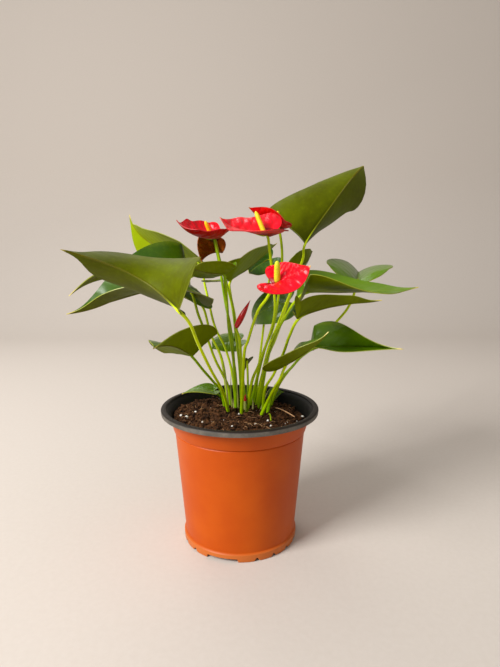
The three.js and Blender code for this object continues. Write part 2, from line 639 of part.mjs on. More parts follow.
function addLeaf(group, leaf) {
  const blade = leafSolid(leaf);
  const stem = stemSolid(stemOf(leaf, leaf.petiole), 0);
  group.add(piece(`${leaf.name}_blade`, blade, 'leaf'));
  group.add(piece(`${leaf.name}_petiole`, clearOf(stem, blade), 'stem'));
}

function addFlower(group, flower) {
  const spathe = spatheSolid(flower);
  const stalk = stemSolid(stemOf(flower, flower.stalk), 0);
  const { tip, radius, finish } = flower.spadix;
  const spadix = finger(seat(flower, SPADIX_INSET), tip, radius, SPADIX_TAPER);
  group.add(piece(`${flower.name}_spathe`, spathe, flower.finish));
  group.add(piece(`${flower.name}_spadix`, clearOf(spadix, spathe), finish));
  group.add(piece(`${flower.name}_stalk`, clearOf(stalk, spathe), 'stem'));
}

const BUD_STEM = { path: [...BUD.stalk, BUD.base], radius: STALK_RADIUS };

function addBud(group) {
  const start = vec(BUD.base).addScaledVector(vec(BUD.tip).sub(vec(BUD.base)).normalize(), BUD_GAP);
  group.add(piece('bud_spathe', finger(start.toArray(), BUD.tip, BUD.radius, BUD_TAPER), 'spathe'));
  group.add(piece('bud_stalk', stemSolid(BUD_STEM, 0), 'stem'));
}

const stems = [
  ...LEAVES.map((leaf) => stemOf(leaf, leaf.petiole)),
  ...FLOWERS.map((flower) => stemOf(flower, flower.stalk)),
  BUD_STEM,
];

const plant = new THREE.Group();
for (const leaf of LEAVES) addLeaf(plant, leaf);
for (const flower of FLOWERS) addFlower(plant, flower);
addBud(plant);

const pottedAnthurium = new THREE.Group();
pottedAnthurium.add(piece('pot', makePot(), 'pot'));
pottedAnthurium.add(piece('soil', makeSoil(stems), 'soil'));
pottedAnthurium.add(plant);

export default pottedAnthurium;
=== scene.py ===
import math
import random

import bpy
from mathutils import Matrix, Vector, noise


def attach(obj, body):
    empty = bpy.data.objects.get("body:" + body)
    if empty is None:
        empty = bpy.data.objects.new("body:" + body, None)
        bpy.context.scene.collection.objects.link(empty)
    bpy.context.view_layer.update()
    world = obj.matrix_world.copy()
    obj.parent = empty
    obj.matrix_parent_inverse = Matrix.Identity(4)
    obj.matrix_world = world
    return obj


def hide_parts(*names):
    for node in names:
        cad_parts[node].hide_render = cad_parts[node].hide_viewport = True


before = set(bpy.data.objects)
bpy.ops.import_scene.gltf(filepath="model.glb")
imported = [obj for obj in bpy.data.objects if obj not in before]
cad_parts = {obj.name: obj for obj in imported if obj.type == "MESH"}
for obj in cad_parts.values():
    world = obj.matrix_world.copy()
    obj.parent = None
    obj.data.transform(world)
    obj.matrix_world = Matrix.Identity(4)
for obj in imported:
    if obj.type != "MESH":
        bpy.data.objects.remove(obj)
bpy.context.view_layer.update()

# ---------- The studio ----------
# A sheet of pale paper runs up behind the plant. One large soft lamp stands in front, above and to
# the left, a weak one stands behind, and the room fills in the rest. The camera looks at the front
# of the plant, a little downwards.
FOCAL_PX = 501
IMAGE_HEIGHT_PX = 667
SENSOR_MM = 36
CAMERA_PLACE = (0, -0.3714, 0.2197)
CAMERA_DOWN = 9.28
CAMERA_TURN = 1.2
NEAREST_SEEN = 0.01
ROOM_COLOUR = (0.93, 0.91, 0.88, 1)
ROOM_STRENGTH = 0.5


def lamp(name, place, target, size, power):
    """A square soft lamp at a place, turned towards a target."""
    bpy.ops.object.light_add(type="AREA", location=place)
    made = bpy.context.object
    made.name = name
    made.rotation_euler = (Vector(target) - Vector(place)).to_track_quat("-Z", "Y").to_euler()
    made.data.size = size
    made.data.energy = power
    made.visible_camera = False
    return made


bpy.ops.object.camera_add(
    location=CAMERA_PLACE,
    rotation=(math.radians(90 - CAMERA_DOWN), 0, math.radians(-CAMERA_TURN)),
)
camera = bpy.context.object
camera.data.lens = FOCAL_PX / IMAGE_HEIGHT_PX * SENSOR_MM
camera.data.clip_start = NEAREST_SEEN
bpy.context.scene.camera = camera

lamp("window", (-1.15, -0.85, 1.1), (0, 0, 0.15), 0.7, 42)
lamp("sky", (-0.35, 0.75, 1.0), (0, 0, 0.2), 0.6, 3.5)

room = bpy.data.worlds.new("room")
room.use_nodes = True
room.node_tree.nodes["Background"].inputs["Color"].default_value = ROOM_COLOUR
room.node_tree.nodes["Background"].inputs["Strength"].default_value = ROOM_STRENGTH
bpy.context.scene.world = room
bpy.context.scene.view_settings.view_transform = "Standard"


def paint(red, green, blue):
    """A colour as a paint chart gives it, 0 to 255, turned into the shader's own numbers."""
    return (*[(part / 255) ** 2.2 for part in (red, green, blue)], 1)


def finish(name, roughness, **sockets):
    """A new material and its shader. Each socket is named with _ for its spaces."""
    made = bpy.data.materials.new(name)
    made.use_nodes = True
    shader = made.node_tree.nodes["Principled BSDF"]
    shader.inputs["Roughness"].default_value = roughness
    for socket, value in sockets.items():
        shader.inputs[socket.replace("_", " ")].default_value = value
    return made, shader


def node(made, kind, *inputs, out=0, **settings):
    """A node of a material: its inputs are values or other nodes' outputs, and one output returns."""
    new = made.node_tree.nodes.new("ShaderNode" + kind)
    for setting, value in settings.items():
        setattr(new, setting, value)
    for place, value in inputs:
        if isinstance(value, bpy.types.NodeSocket):
            made.node_tree.links.new(value, new.inputs[place])
        else:
            new.inputs[place].default_value = value
    return new.outputs[out]


def number(made, operation, *values):
    """A sum or other piece of arithmetic on values or nodes' outputs."""
    return node(made, "Math", *enumerate(values), operation=operation)


def spread(made, value, low, high, to_low=0.0, to_high=1.0):
    """A value's stretch from low to high, eased into the stretch from to_low to to_high."""
    inputs = [("Value", value), ("From Min", low), ("From Max", high)]
    inputs += [("To Min", to_low), ("To Max", to_high)]
    return node(made, "MapRange", *inputs, interpolation_type="SMOOTHSTEP")


def mixed(made, share, one, other):
    """One colour turned into the other by a share, 0 to 1."""
    return node(made, "Mix", (0, share), (6, one), (7, other), out=2, data_type="RGBA")


def speckle(made, place, size, detail=3, rough=0.5):
    """Cloudy noise whose blotches are about this size in metres, or in the map's own units."""
    inputs = [("Vector", place), ("Scale", 1 / size), ("Detail", detail), ("Roughness", rough)]
    return node(made, "TexNoise", *inputs)


def colour_in(made, shader, colour):
    """Gives a material its colour."""
    made.node_tree.links.new(colour, shader.inputs["Base Color"])


def bump_in(made, shader, height, distance, strength=1.0):
    """Gives a material its relief, from a height and how many metres its unit is."""
    inputs = [("Height", height), ("Distance", distance), ("Strength", strength)]
    made.node_tree.links.new(node(made, "Bump", *inputs), shader.inputs["Normal"])


def own_place(made):
    """Where a point lies in the piece's own space, in metres."""
    return node(made, "TexCoord", out=3)


def start(name, add, **sizes):
    """A primitive, added with nothing else selected, and named."""
    bpy.ops.object.select_all(action="DESELECT")
    add(**sizes)
    piece = bpy.context.object
    piece.name = name
    piece.data.name = name
    return piece


def closed(piece, angle=40):
    """Merges what lies on the same spot, turns all faces outwards and shades them smooth."""
    bpy.ops.object.mode_set(mode="EDIT")
    bpy.ops.mesh.select_all(action="SELECT")
    bpy.ops.mesh.remove_doubles(threshold=0.00001)
    bpy.ops.mesh.normals_make_consistent(inside=False)
    bpy.ops.object.mode_set(mode="OBJECT")
    bpy.ops.object.shade_smooth_by_angle(angle=math.radians(angle))
    return piece


SWEEP_BACK = 0.9
SWEEP_RADIUS = 0.5
SWEEP_TURNS = 12
PAPER_SIZE = 8
PAPER_HEIGHT = 3
PAPER_BELOW = 0.0003

plane = bpy.ops.mesh.primitive_plane_add
paper_middle = (0, SWEEP_BACK - PAPER_SIZE / 2, -PAPER_BELOW)
backdrop = start("backdrop", plane, size=PAPER_SIZE, location=paper_middle)
bpy.ops.object.mode_set(mode="EDIT")
bpy.ops.mesh.select_all(action="DESELECT")
bpy.ops.object.mode_set(mode="OBJECT")
for edge in backdrop.data.edges:
    ends = [backdrop.data.vertices[end].co.y for end in edge.vertices]
    edge.select = min(ends) > 0
bpy.ops.object.mode_set(mode="EDIT")
bpy.ops.mesh.select_mode(type="EDGE")
step = 2 * SWEEP_RADIUS * math.sin(math.pi / 4 / SWEEP_TURNS)
for turn in range(SWEEP_TURNS):
    rise = math.pi / 2 * (turn + 0.5) / SWEEP_TURNS
    forward = (0, step * math.cos(rise), step * math.sin(rise))
    bpy.ops.mesh.extrude_edges_move(TRANSFORM_OT_translate={"value": forward})
bpy.ops.mesh.extrude_edges_move(TRANSFORM_OT_translate={"value": (0, 0, PAPER_HEIGHT)})
bpy.ops.object.mode_set(mode="OBJECT")
bpy.ops.object.transform_apply(location=True)
bpy.ops.object.shade_smooth()
backdrop_paper, shader = finish("backdrop_paper", 0.9, Specular_IOR_Level=0.1)
grain = speckle(backdrop_paper, own_place(backdrop_paper), 0.004, 6, 0.6)
colour_in(backdrop_paper, shader, mixed(backdrop_paper, grain, paint(196, 186, 176), paint(204, 195, 186)))
bump_in(backdrop_paper, shader, grain, 0.0002, 0.3)
backdrop.data.materials.append(backdrop_paper)

# ---------- The pot ----------
# A 12 cm nursery pot, thermoformed from one sheet of plastic that is orange outside and black
# inside. Its rim is rolled outwards, so the black side shows on the lip. It stands on a foot ring
# with small notches and wide drain gaps.
MM = 0.001
RIM_RADIUS = 60.0
POT_HEIGHT = 103.6
LIP_BOTTOM = 99.4
LIP_WIDTH = 4.4
LIP_ROUND = 1.5
COLLAR_TOP_RADIUS = 53.2
COLLAR_BOTTOM_RADIUS = 50.4
COLLAR_BOTTOM = 87.0
BODY_TOP_RADIUS = 49.5
BODY_BOTTOM_RADIUS = 42.6
FOOT_RADIUS = 44.0
FOOT_HEIGHT = 6.0
POT_WALL = 1.2
POT_FLOOR = 6.4
POT_SIDES = 360
DRAIN_GAP_AZIMUTHS = (-18, 102, 222)
DRAIN_GAP_HALF = 15.5
DRAIN_GAP_HEIGHT = 3.4
DRAIN_GAP_WAVE = 0.35
NOTCH_STEPS = (34, 52, 70, 88)
NOTCH_HALF = 2.7
NOTCH_HEIGHT = 2.7


def arc(middle, radius, first, last, steps):
    """Points of a rounded edge as (radius, height), from one angle to another in degrees."""
    angles = [math.radians(first + (last - first) * i / steps) for i in range(steps + 1)]
    return [(middle[0] + radius * math.cos(a), middle[1] + radius * math.sin(a)) for a in angles]


def foot_cut(azimuth):
    """How high the foot ring is cut away at an azimuth, counted from the front of the pot."""
    deepest = 0.0
    for gap in DRAIN_GAP_AZIMUTHS:
        off = (azimuth - gap + 180) % 360 - 180
        wavy = DRAIN_GAP_WAVE * math.sin(off * 0.9)
        deepest = max(deepest, (DRAIN_GAP_HEIGHT + wavy) * (abs(off) < DRAIN_GAP_HALF))
        for step in NOTCH_STEPS:
            near = 1 - abs(off - step) / NOTCH_HALF
            deepest = max(deepest, NOTCH_HEIGHT * near)
    return deepest


lip_middle = (RIM_RADIUS - LIP_ROUND, POT_HEIGHT - LIP_ROUND)
lip_inner = (RIM_RADIUS - LIP_WIDTH + LIP_ROUND, POT_HEIGHT - LIP_ROUND)
outside = [
    (FOOT_RADIUS - 1.5, 0), (FOOT_RADIUS - 0.3, 0), (FOOT_RADIUS, 2.5), (FOOT_RADIUS, FOOT_HEIGHT - 0.9),
    (FOOT_RADIUS - 0.5, FOOT_HEIGHT - 0.2), (BODY_BOTTOM_RADIUS + 0.2, FOOT_HEIGHT + 0.2),
    (BODY_BOTTOM_RADIUS + 0.1, FOOT_HEIGHT + 1.2),
    (BODY_TOP_RADIUS, COLLAR_BOTTOM - 1.8), (BODY_TOP_RADIUS - 0.5, COLLAR_BOTTOM - 1.0),
    (BODY_TOP_RADIUS - 0.3, COLLAR_BOTTOM - 0.5), (COLLAR_BOTTOM_RADIUS - 0.1, COLLAR_BOTTOM - 0.3),
    (COLLAR_BOTTOM_RADIUS + 0.2, COLLAR_BOTTOM + 0.4),
    (COLLAR_TOP_RADIUS + 0.1, LIP_BOTTOM - 2.2), (COLLAR_TOP_RADIUS - 0.4, LIP_BOTTOM - 1.5),
    (COLLAR_TOP_RADIUS - 0.3, LIP_BOTTOM - 0.8), (COLLAR_TOP_RADIUS + 0.5, LIP_BOTTOM - 0.2),
]
lip = [
    (COLLAR_TOP_RADIUS + 0.9, LIP_BOTTOM), (RIM_RADIUS - 1.2, LIP_BOTTOM),
    (RIM_RADIUS - 0.3, LIP_BOTTOM + 0.3),
    *arc(lip_middle, LIP_ROUND, 0, 90, 6), *arc(lip_inner, LIP_ROUND, 90, 180, 5),
]
inside = [
    (COLLAR_TOP_RADIUS - POT_WALL + 0.6, LIP_BOTTOM), (COLLAR_BOTTOM_RADIUS - POT_WALL, COLLAR_BOTTOM),
    (BODY_TOP_RADIUS - POT_WALL, COLLAR_BOTTOM - 0.6), (BODY_BOTTOM_RADIUS - POT_WALL, POT_FLOOR + POT_WALL),
    (0.01, POT_FLOOR + POT_WALL),
]
foot_inside = [
    (FOOT_RADIUS - 1.5, 0), (FOOT_RADIUS - POT_WALL - 0.2, FOOT_HEIGHT - 1.2),
    (BODY_BOTTOM_RADIUS - POT_WALL, POT_FLOOR), (0.01, POT_FLOOR),
]


def turned(name, profile, sides):
    """A ring drawn out along a profile of (radius, height), as a pot is turned."""
    first, height = profile[0]
    add = bpy.ops.mesh.primitive_circle_add
    made = start(name, add, vertices=sides, radius=first * MM, location=(0, 0, 0))
    bpy.ops.object.mode_set(mode="EDIT")
    bpy.ops.mesh.select_all(action="SELECT")
    bpy.ops.transform.translate(value=(0, 0, height * MM))
    radius = first
    for wide, high in profile[1:]:
        bpy.ops.mesh.extrude_region_move(TRANSFORM_OT_translate={"value": (0, 0, (high - height) * MM)})
        bpy.ops.transform.resize(value=(wide / radius, wide / radius, 1), center_override=(0, 0, high * MM))
        radius, height = wide, high
    bpy.ops.object.mode_set(mode="OBJECT")
    return made


pot = turned("nursery_pot", [*reversed(foot_inside), *outside[1:], *lip, *inside], POT_SIDES)
for vertex in pot.data.vertices:
    if abs(vertex.co.z) < 0.1 * MM:
        azimuth = math.degrees(math.atan2(vertex.co.x, -vertex.co.y))
        vertex.co.z = foot_cut(azimuth) * MM
closed(pot, 35)

pot_orange, shader = finish("pot_orange", 0.42, Specular_IOR_Level=0.2)
place = own_place(pot_orange)
height = node(pot_orange, "SeparateXYZ", (0, place), out=2)
flow = speckle(pot_orange, place, 0.03, 3)
scuff = speckle(pot_orange, place, 0.012, 6, 0.7)
even = mixed(pot_orange, spread(pot_orange, flow, 0.3, 0.7), paint(178, 72, 2), paint(186, 80, 6))
dusty = mixed(pot_orange, spread(pot_orange, scuff, 0.62, 0.85, 0, 0.18), even, paint(192, 108, 50))
thin_foot = spread(pot_orange, height, 0.0068, 0.0045, 0, 0.85)
colour_in(pot_orange, shader, mixed(pot_orange, thin_foot, dusty, paint(192, 106, 50)))
fine = speckle(pot_orange, place, 0.0012, 2)
bump_in(pot_orange, shader, number(pot_orange, "MULTIPLY_ADD", flow, 2.0, fine), 0.00005, 0.35)

pot_black, shader = finish("pot_black", 0.5, Specular_IOR_Level=0.2)
place = own_place(pot_black)
height = node(pot_black, "SeparateXYZ", (0, place), out=2)
dust_and_light_blotch = speckle(pot_black, place, 0.009, 6, 0.7)
flat = node(pot_black, "Mapping", ("Vector", place), ("Scale", (1, 1, 0)))
reach = node(pot_black, "VectorMath", (0, flat), out=1, operation="LENGTH")
# Painted light: the outer band of the lip is a lighter grey, as where the lamp lights its side, while the
# rest of the lip stays near black and its top dark brown.
on_lip = spread(pot_black, reach, 0.0574, 0.0588)
grey = mixed(pot_black, spread(pot_black, dust_and_light_blotch, 0.35, 0.75), paint(84, 80, 74), paint(114, 106, 96))
lip_with_lit_band = mixed(pot_black, on_lip, paint(14, 13, 13), grey)
top = spread(pot_black, height, 0.1022, 0.1032, 0, 0.95)
lip_with_lit_band = mixed(pot_black, top, lip_with_lit_band, paint(34, 27, 23))
soiled = spread(pot_black, speckle(pot_black, place, 0.0035, 4, 0.7), 0.6, 0.75, 0, 0.6)
colour_in(pot_black, shader, mixed(pot_black, soiled, lip_with_lit_band, paint(58, 42, 30)))
bump_in(pot_black, shader, speckle(pot_black, place, 0.0015, 3), 0.0001, 0.5)

pot.data.materials.append(pot_orange)
pot.data.materials.append(pot_black)
for face in pot.data.polygons:
    radius = math.hypot(face.center.x, face.center.y) / MM
    inward = face.normal.x * face.center.x + face.normal.y * face.center.y < 0
    above_floor = face.center.z > (POT_FLOOR + 0.6) * MM
    on_lip = face.center.z > (LIP_BOTTOM - 0.15) * MM
    flat_up = face.normal.z > 0.9 and above_floor and radius < COLLAR_BOTTOM_RADIUS
    face.material_index = int(on_lip or flat_up or (inward and above_floor))
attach(pot, "root")
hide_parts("pot")

# ---------- The soil ----------
# Dark peat potting soil, pressed in round the crown and crumbly on top. It fills the pot, and its
# lumps, fibres and white perlite grains lie loose on the mound.
SOIL_EDGE = 94.6
SOIL_MOUND = 1.8
SOIL_TILT = 5.0
SOIL_EDGE_RADIUS = 50.4
SOIL_FLOOR_RADIUS = 41.0
SOIL_FLOOR = 8.0
SOIL_COLLAR_DEPTH = 5.0
SOIL_BODY_DEPTH = 78.0
PLANT_Y = 18.0
SOIL_CELLS = 180
CLOD_SIZE, CLOD_HEIGHT = 9.0, 1.5
LUMP_SIZE, LUMP_HEIGHT = 3.2, 2.4
GRAIN_SIZE, GRAIN_HEIGHT = 1.1, 0.5
CRUMBS_LOWERED = 0.4


def soil_height(x, y):
    """The height of the mound in mm, without its crumbs."""
    edge = COLLAR_TOP_RADIUS - POT_WALL
    inward = 1 - min(1, math.hypot(x, y - PLANT_Y / 2) / edge) ** 2
    return SOIL_EDGE + SOIL_MOUND * inward - SOIL_TILT * (x + 0.3 * y) / (2 * edge)


def crumbs(x, y):
    """The lumps and pits of loose peat in mm: large clods, lumps and grains."""
    spot = Vector((x, y, 0))
    clods = noise.noise(spot / CLOD_SIZE) * CLOD_HEIGHT
    lumps = abs(noise.noise(spot / LUMP_SIZE + Vector((7, 3, 0)))) * LUMP_HEIGHT
    grains = noise.noise(spot / GRAIN_SIZE) * GRAIN_HEIGHT
    return clods + lumps + grains - CRUMBS_LOWERED


def to_disc(a, b):
    """A point of the square from -1 to 1, moved onto the round disc."""
    return a * math.sqrt(1 - b * b / 2), b * math.sqrt(1 - a * a / 2)


grid = bpy.ops.mesh.primitive_grid_add
soil = start("potting_soil", grid, x_subdivisions=SOIL_CELLS, y_subdivisions=SOIL_CELLS, size=2)
for vertex in soil.data.vertices:
    x, y = [part * SOIL_EDGE_RADIUS for part in to_disc(vertex.co.x, vertex.co.y)]
    inward = 1 - math.hypot(x, y) / SOIL_EDGE_RADIUS
    lift = crumbs(x, y) * min(1, 0.35 + 8 * inward)
    vertex.co = Vector((x, y, soil_height(x, y) + lift)) * MM
bpy.ops.object.mode_set(mode="EDIT")
bpy.ops.mesh.select_all(action="SELECT")
bpy.ops.mesh.region_to_loop()
bpy.ops.mesh.extrude_region_move(TRANSFORM_OT_translate={"value": (0, 0, -SOIL_COLLAR_DEPTH * MM)})
side = (COLLAR_BOTTOM_RADIUS - POT_WALL - 0.5) / SOIL_EDGE_RADIUS
bpy.ops.transform.resize(value=(side, side, 1), center_override=(0, 0, 0))
bpy.ops.mesh.extrude_region_move(TRANSFORM_OT_translate={"value": (0, 0, -SOIL_BODY_DEPTH * MM)})
side = SOIL_FLOOR_RADIUS / (SOIL_EDGE_RADIUS * side)
bpy.ops.transform.resize(value=(side, side, 1), center_override=(0, 0, 0))
bpy.ops.transform.resize(value=(1, 1, 0), center_override=(0, 0, SOIL_FLOOR * MM))
bpy.ops.mesh.edge_face_add()
bpy.ops.object.mode_set(mode="OBJECT")
closed(soil, 60)

soil_finish, shader = finish("peat_soil", 0.95, Specular_IOR_Level=0.2)
place = own_place(soil_finish)
clump = speckle(soil_finish, place, 0.004, 8, 0.7)
grain = speckle(soil_finish, place, 0.0012, 6, 0.7)
dark = mixed(soil_finish, spread(soil_finish, clump, 0.35, 0.65), paint(26, 15, 8), paint(98, 64, 38))
pale_grain = spread(soil_finish, grain, 0.62, 0.74)
colour_in(soil_finish, shader, mixed(soil_finish, pale_grain, dark, paint(150, 108, 70)))
bump_in(soil_finish, shader, number(soil_finish, "ADD", clump, grain), 0.0012, 0.9)
soil.data.materials.append(soil_finish)
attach(soil, "root")
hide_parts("soil")


def joined(name, copies):
    """Several pieces made into one, with a new name."""
    bpy.ops.object.select_all(action="DESELECT")
    for one in copies:
        one.select_set(True)
    bpy.context.view_layer.objects.active = copies[0]
    bpy.ops.object.join()
    made = bpy.context.object
    made.name = name
    made.data.name = name
    return made


LUMP_ROUGHNESS = 0.55
LUMP_NARROW = 0.8


def lump(seed):
    """One rough grain about 1 unit across."""
    made = start("lump", bpy.ops.mesh.primitive_ico_sphere_add, subdivisions=2, radius=0.5)
    shift = Vector((seed * 3.7, seed * 1.3, seed * 2.1))
    for vertex in made.data.vertices:
        vertex.co *= 1 + LUMP_ROUGHNESS * noise.noise(vertex.co * 2.4 + shift)
    bpy.ops.object.shade_smooth()
    return made


def strewn(name, seeds, spots):
    """Copies of a few lumps laid out: each spot is (x, y, height above the soil, size, flatness)."""
    models = [lump(seed) for seed in seeds]
    copies = []
    for x, y, above, size, flat in spots:
        model = chance.choice(models)
        one = bpy.data.objects.new(name, model.data.copy())
        bpy.context.collection.objects.link(one)
        turn = chance.uniform(0, 2 * math.pi)
        middle = Vector((x, y, soil_height(x, y) + above)) * MM
        for vertex in one.data.vertices:
            across = vertex.co.x * math.cos(turn) - vertex.co.y * math.sin(turn)
            along = vertex.co.x * math.sin(turn) + vertex.co.y * math.cos(turn)
            vertex.co = Vector((across, along * LUMP_NARROW, vertex.co.z * flat)) * size * MM + middle
        copies.append(one)
    for model in models:
        bpy.data.objects.remove(model)
    return joined(name, copies)


CRUMB_ABOVE = 0.9
CRUMB_RISE = 0.25
CRUMB_FLATNESS = 0.8


def scattered(count, reach, low, high):
    """Chance spots on the mound, small ones more often than large ones."""
    spots = []
    for _ in range(count):
        turn = chance.uniform(0, 2 * math.pi)
        out = reach * math.sqrt(chance.random())
        size = low + (high - low) * chance.random() ** 3
        above = CRUMB_ABOVE + CRUMB_RISE * size
        spots.append((out * math.cos(turn), out * math.sin(turn), above, size, CRUMB_FLATNESS))
    return spots


CRUMBS = 900
CRUMB_REACH = 49
chance = random.Random(12)
clods = strewn("peat_crumbs", (1, 2, 3, 4), scattered(CRUMBS, CRUMB_REACH, 0.6, 3.4))
clods.data.materials.append(soil_finish)
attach(clods, "root")

# White perlite grains: the large ones where they show, and small ones all over
PERLITE = (
    (-44, -10, 1.6, 2.0, 0.8), (-39.5, -15, 1.8, 3.2, 0.7), (-33.6, -2, 1.6, 1.8, 0.8),
    (11.4, -25.5, 1.6, 2.2, 0.8), (20.7, -17, 1.6, 2.0, 0.8), (22.3, -26.7, 1.5, 1.6, 0.8),
    (48.0, -1.6, 1.8, 2.6, 0.8), (-0.7, -5.3, 1.6, 1.5, 0.8), (-5.7, -31, 1.5, 1.5, 0.8),
    (-14.3, 15.7, 1.6, 1.6, 0.8), (-27, -24, 1.5, 1.5, 0.8), (31, -30, 1.5, 1.2, 0.8),
)
PERLITE_DUST = 18
PERLITE_REACH = 48


def dappled(name, roughness, size, one, other, relief, strength=1.0, **sockets):
    """A finish whose blotches, about this size in metres, run from one colour to another."""
    made, shader = finish(name, roughness, **sockets)
    blotch = speckle(made, own_place(made), size)
    colour_in(made, shader, mixed(made, blotch, one, other))
    bump_in(made, shader, blotch, relief, strength)
    return made


perlite = strewn("perlite", (5, 6), [*PERLITE, *scattered(PERLITE_DUST, PERLITE_REACH, 0.4, 1.1)])
perlite_white = dappled("perlite_white", 0.8, 0.0008, paint(214, 206, 190), paint(246, 242, 234), 0.0003)
perlite.data.materials.append(perlite_white)
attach(perlite, "root")


def spline(points, share):
    """The place at a share, 0 to 1, of a smooth line through points that are given in order."""
    last = len(points) - 1
    step = min(int(share * last), last - 1)
    t = share * last - step
    before = points[step - 1] if step > 0 else points[0] * 2 - points[1]
    here, ahead = points[step], points[step + 1]
    after = points[step + 2] if step + 2 <= last else points[-1] * 2 - points[-2]
    bend = (here * 3 - before - ahead * 3 + after) * t + (before * 2 - here * 5 + ahead * 4 - after)
    return (bend * t + ahead - before) * t / 2 + here


def rod(name, points, girth, around=10, along=36, oval=1.0):
    """A round rod along a smooth line: a grid rolled up, with its two ends drawn to points."""
    line = [Vector(point) for point in points]
    made = start(name, grid, x_subdivisions=around, y_subdivisions=along, size=2)
    rings = [spline(line, i / along) for i in range(along + 1)]
    side = None
    frames = []
    for i in range(along + 1):
        ahead = (rings[min(i + 1, along)] - rings[max(i - 1, 0)]).normalized()
        guess = side or ahead.orthogonal()
        side = (guess - ahead * guess.dot(ahead)).normalized()
        frames.append((side, ahead.cross(side)))
    for vertex in made.data.vertices:
        ring = round((vertex.co.y + 1) / 2 * along)
        turn = math.pi * vertex.co.x
        one, other = frames[ring]
        radius = 0 if ring in (0, along) else girth(ring / along)
        across = one * math.cos(turn) + other * math.sin(turn) * oval
        vertex.co = (rings[ring] + across * radius) * MM
    return closed(made, 60)


# Fibres and bark bits in the peat: short thin brown rods, most of them lying near the front
FIBRES = 70
FIBRE_RADIUS = 0.16
FIBRE_REACH = 47
FIBRE_ABOVE = 2.0
fibres = []
for _ in range(FIBRES):
    x, y = chance.uniform(-42, 42), chance.uniform(-44, 20)
    if math.hypot(x, y) > FIBRE_REACH:
        continue
    turn, reach = chance.uniform(0, math.pi), chance.uniform(2, 7)
    step = Vector((math.cos(turn), math.sin(turn), 0)) * reach / 2
    rise = chance.uniform(0.2, 1.5)
    middle = Vector((x, y, soil_height(x, y) + FIBRE_ABOVE))
    points = [middle - step, middle + Vector((0, 0, rise)), middle + step]
    fibres.append(rod("fibre", points, lambda part: FIBRE_RADIUS, 4, 4))
fibres = joined("peat_fibres", fibres)
fibre_brown = dappled("fibre_brown", 0.85, 0.006, paint(96, 62, 34), paint(196, 150, 104), 0.0002)
fibres.data.materials.append(fibre_brown)
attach(fibres, "root")

# One pale straw lies on the mound at the right, bent near its middle
STRAW = ((27.7, 8, 98.4), (31.3, 4.3, 98.6), (37, -4, 98.0), (41.8, -10.3, 96.6))
STRAW_RADIUS = 0.42
straw = rod("straw", STRAW, lambda part: STRAW_RADIUS, 6, 16)
straw_dry = dappled("straw_dry", 0.6, 0.002, paint(176, 120, 78), paint(222, 176, 128), 0.0001)
straw.data.materials.append(straw_dry)
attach(straw, "root")

# ---------- Stems ----------
# Petioles and flower stalks are smooth round living stems, yellow-green and paler towards the
# soil. Each is thicker at its foot, even above that, and runs on thinly as the midrib under its blade.
STALK_RADIUS = 1.0
SHEATH_RADIUS = 1.45
SHEATH_SHARE = 0.2
RIB_FADE = 0.05

stem_green, shader = finish("stem_green", 0.36, Specular_IOR_Level=0.2)
place = own_place(stem_green)
height = node(stem_green, "SeparateXYZ", (0, place), out=2)
drawn_out = node(stem_green, "Mapping", ("Vector", place), ("Scale", (1, 1, 0.08)))
streaks = speckle(stem_green, drawn_out, 0.0012, 4)
blotch = speckle(stem_green, place, 0.02, 3)
# A stem's tone is painted light: a brighter green for stems that stand lit and a darker green for those in
# shade. The dark blotches are painted shade.
tone = node(stem_green, "Attribute", attribute_name="tone", out=2)
green = mixed(stem_green, tone, paint(118, 160, 0), paint(216, 236, 0))
green = mixed(stem_green, spread(stem_green, streaks, 0.35, 0.65, 0, 0.4), green, paint(194, 214, 4))
low = spread(stem_green, height, 0.118, 0.098, 0, 0.7)
paler = mixed(stem_green, low, green, paint(134, 184, 6))
shade = spread(stem_green, blotch, 0.5, 0.75, 0, 0.35)
living = mixed(stem_green, shade, paler, paint(78, 102, 0))
rib = node(stem_green, "Attribute", attribute_name="rib", out=2)
colour_in(stem_green, shader, mixed(stem_green, rib, living, paint(98, 100, 2)))
bump_in(stem_green, shader, streaks, 0.0001, 0.4)


def toned(piece, tone):
    """Gives a whole piece one tone, which its material reads."""
    piece.data.attributes.new("tone", "FLOAT", "POINT").data.foreach_set(
        "value", [tone] * len(piece.data.vertices))


def ribbed(piece, rib_from):
    """Marks where a stem has become the midrib under its blade, which its material reads."""
    share = [0.0] * len(piece.data.vertices)
    for loop in piece.data.loops:
        along = piece.data.uv_layers[0].data[loop.index].uv.y
        share[loop.vertex_index] = min(1, max(0, (along - rib_from) / RIB_FADE))
    piece.data.attributes.new("rib", "FLOAT", "POINT").data.foreach_set("value", share)


def stem_girth(rib_from=1.0):
    """The radius along a stem: its sheath at the soil, then even, and thin where it is the midrib."""
    def girth(part):
        sheath = max(0, 1 - part / SHEATH_SHARE)
        grown = STALK_RADIUS + (SHEATH_RADIUS - STALK_RADIUS) * sheath
        if part > rib_from:
            grown = STALK_RADIUS * (0.62 - 0.5 * (part - rib_from) / (1 - rib_from))
        return grown
    return girth


# ---------- Leaves ----------
# Twenty heart-shaped leaves on their petioles. A blade is leathery and about half a millimetre
# thick, dark and glossy above, olive and duller below, with a pale margin, a raised midrib
# underneath and a drawn-out yellow tip. Each was set by its outline in the photograph.
HEART_OUTLINE = (
    (0, 0, 0), (-0.09, 0.15, 0), (-0.16, 0.40, 0), (-0.14, 0.70, 0.01), (-0.03, 0.92, 0.04),
    (0.09, 1, 0.10), (0.24, 0.94, 0.20), (0.41, 0.77, 0.33), (0.58, 0.55, 0.48),
    (0.75, 0.31, 0.66), (0.89, 0.10, 0.84), (1, 0, 1),
)
BLADE_ACROSS = 20
BLADE_ALONG = 44
BLADE_THICKNESS = 0.55
HOOK_START = 0.7
SHOULDER_AT = 0.75
SHOULDER_LENGTH = 0.15
LOBE_AT = -0.1
LOBE_LENGTH = 0.3
SEAT_INSET = 1.6
RIB_BELOW = 0.1
RIB_END_LIFT = 0.35
MAP_ACROSS = 0.7
MAP_BEHIND = 0.22
MAP_LENGTH = 1.24


